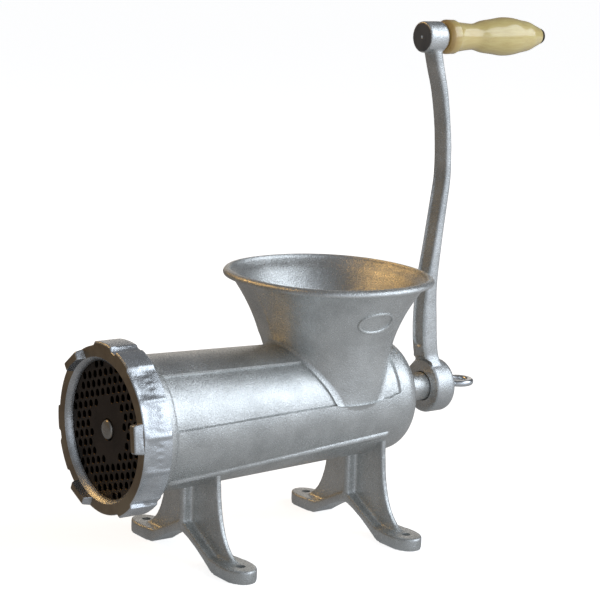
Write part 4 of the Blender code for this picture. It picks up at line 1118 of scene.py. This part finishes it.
# Screwed shank, round shoulder, neck and a forged eye that lies flat
def makeThumbScrew():
    size = thumb
    tip = screwLow.y
    shoulder = armHigh.y + meshGap
    seat = shoulder + size["shoulderLength"]
    profile = [(tip, 0), (tip, size["radius"] * 0.66), (tip + 0.0008, size["radius"] * 0.8)]
    s = tip + 0.0012
    while s < shoulder - 0.0018:
        profile += [(s, size["radius"] - 0.0006), (s + 0.0005, size["radius"]),
                    (s + 0.0007, size["radius"])]
        s += 0.00125
    profile += [(shoulder - 0.0004, size["radius"] - 0.0005), (shoulder, size["radius"] - 0.0005),
                (shoulder, size["shoulder"] - 0.0004),
                (shoulder + 0.0004, size["shoulder"]), (seat - 0.0006, size["shoulder"]),
                (seat, size["shoulder"] - 0.0008), (seat + 0.0004, 0.0044),
                (seat + 0.0018, 0.0036), (seat + size["neck"] - 0.0024, 0.0029),
                (seat + size["neck"] - 0.0012, 0)]
    shank = turned(profile, 48)
    eye = bmesh.new()
    bar = bmesh.ops.create_circle(eye, segments=28, radius=size["bar"],
                                  matrix=Matrix.Rotation(pi / 2, 4, "X"))
    for v in bar["verts"]:       # flattened by the forging
        v.co.z = max(min(v.co.z, size["bar"] * 0.86), -size["bar"] * 0.86)
    bmesh.ops.translate(eye, vec=(size["eye"], 0, 0), verts=bar["verts"])
    bmesh.ops.spin(eye, geom=eye.verts[:] + eye.edges[:], cent=(0, 0, 0), axis=(0, 0, 1), angle=2 * pi,
                   steps=72, use_merge=True)
    bmesh.ops.remove_doubles(eye, verts=eye.verts, dist=1e-6)
    bmesh.ops.recalc_face_normals(eye, faces=eye.faces)
    bmesh.ops.translate(eye, vec=(0, screwHigh.y - size["eye"] - size["bar"], axisZ), verts=eye.verts)
    return combined(shank, [eye], "UNION")


addPiece("eye_screw", makeThumbScrew(), [zincSteel], "thumb_screw", ["thumb_screw"], 35)

# Grip, its peg and washer
grip = {"collar": 0.0120, "waist": 0.0093, "swell": 0.01365, "nose": 0.0055, "bore": 0.0047,
        "pegRadius": 0.0040, "headRadius": 0.0050,
        "headLength": 0.0018, "washerRadius": 0.0056}


def makeGrip():
    length = gripHigh.y - gripLow.y
    size = grip
    collar, waist, swell = size["collar"], size["waist"], size["swell"]
    nose = size["nose"]
    knots = ((0.105, collar - 0.0006), (0.150, collar - 0.0016), (0.225, waist + 0.0003), (0.310, waist),
             (0.400, waist + 0.0020), (0.500, swell - 0.0012), (0.605, swell), (0.700, swell - 0.0004),
             (0.790, swell - 0.0019), (0.870, nose + 0.0050), (0.940, nose + 0.0026),
             (0.982, nose + 0.0011),
             (0.996, nose + 0.0004), (1.000, nose - 0.0002))
    outside = [(0.000, collar - 0.0021), (0.004, collar - 0.0016), (0.026, collar - 0.0001),
               (0.034, collar),
               (0.098, collar - 0.0001)]
    outside += [(p.x, min(p.y, swell)) for p in through([(a, b) for a, b in knots], 5)]
    profile = [(gripLow.y, size["bore"])] + [(gripLow.y + share * length, radius) for share,
                                             radius in outside]
    profile.append((gripHigh.y, size["bore"]))
    return turned(profile, 128, pegZ, closed=True)


addPiece("turned_grip", makeGrip(), [lacqueredWood], "grip", ["grip"], 30)


# Steel peg whose end is riveted over the washer
def makePeg():
    size = grip
    pegRadius, headRadius = size["pegRadius"], size["headRadius"]
    head = pegHigh.y - size["headLength"]
    return turned([(pegLow.y, 0), (pegLow.y, pegRadius - 0.0004), (pegLow.y + 0.0004, pegRadius),
                   (head, pegRadius),
                   (head, headRadius - 0.0003), (head + 0.0003, headRadius),
                   (head + 0.0008, headRadius - 0.0001),
                   (head + 0.0013, 0.0040), (head + 0.0016, 0.0028), (pegHigh.y, 0.0012), (pegHigh.y, 0)],
                   64, pegZ)


addPiece("riveted_peg", makePeg(), [oiledSteel], "crank", ["handle_peg"], 35)
washerLow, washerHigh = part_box("peg_washer")
outer, edge = grip["washerRadius"], 0.0002
washer = turned([(washerLow.y, grip["bore"]), (washerLow.y, outer - edge), (washerLow.y + edge, outer),
                 (washerHigh.y - edge, outer), (washerHigh.y, outer - edge), (washerHigh.y, grip["bore"])],
                 64, pegZ,
                closed=True)
addPiece("rivet_washer", washer, [oiledSteel], "crank", ["peg_washer"], 35)

# CAD nodes that keep their shape
for name, finish in (("rear_bushing", bronze), ("thrust_washer", fibre), ("plate_key_pin", brightSteel),
                     ("cross_knife", brightSteel)):
    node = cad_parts[name]
    node.data.materials.clear()
    node.data.materials.append(finish)
    weld = node.modifiers.new("weld", "WELD")
    weld.merge_threshold = 0.00001
    edges = node.modifiers.new("edges", "BEVEL")
    edges.width = 0.0003
    edges.segments = 2
    edges.limit_method = "ANGLE"
    edges.angle_limit = radians(40)
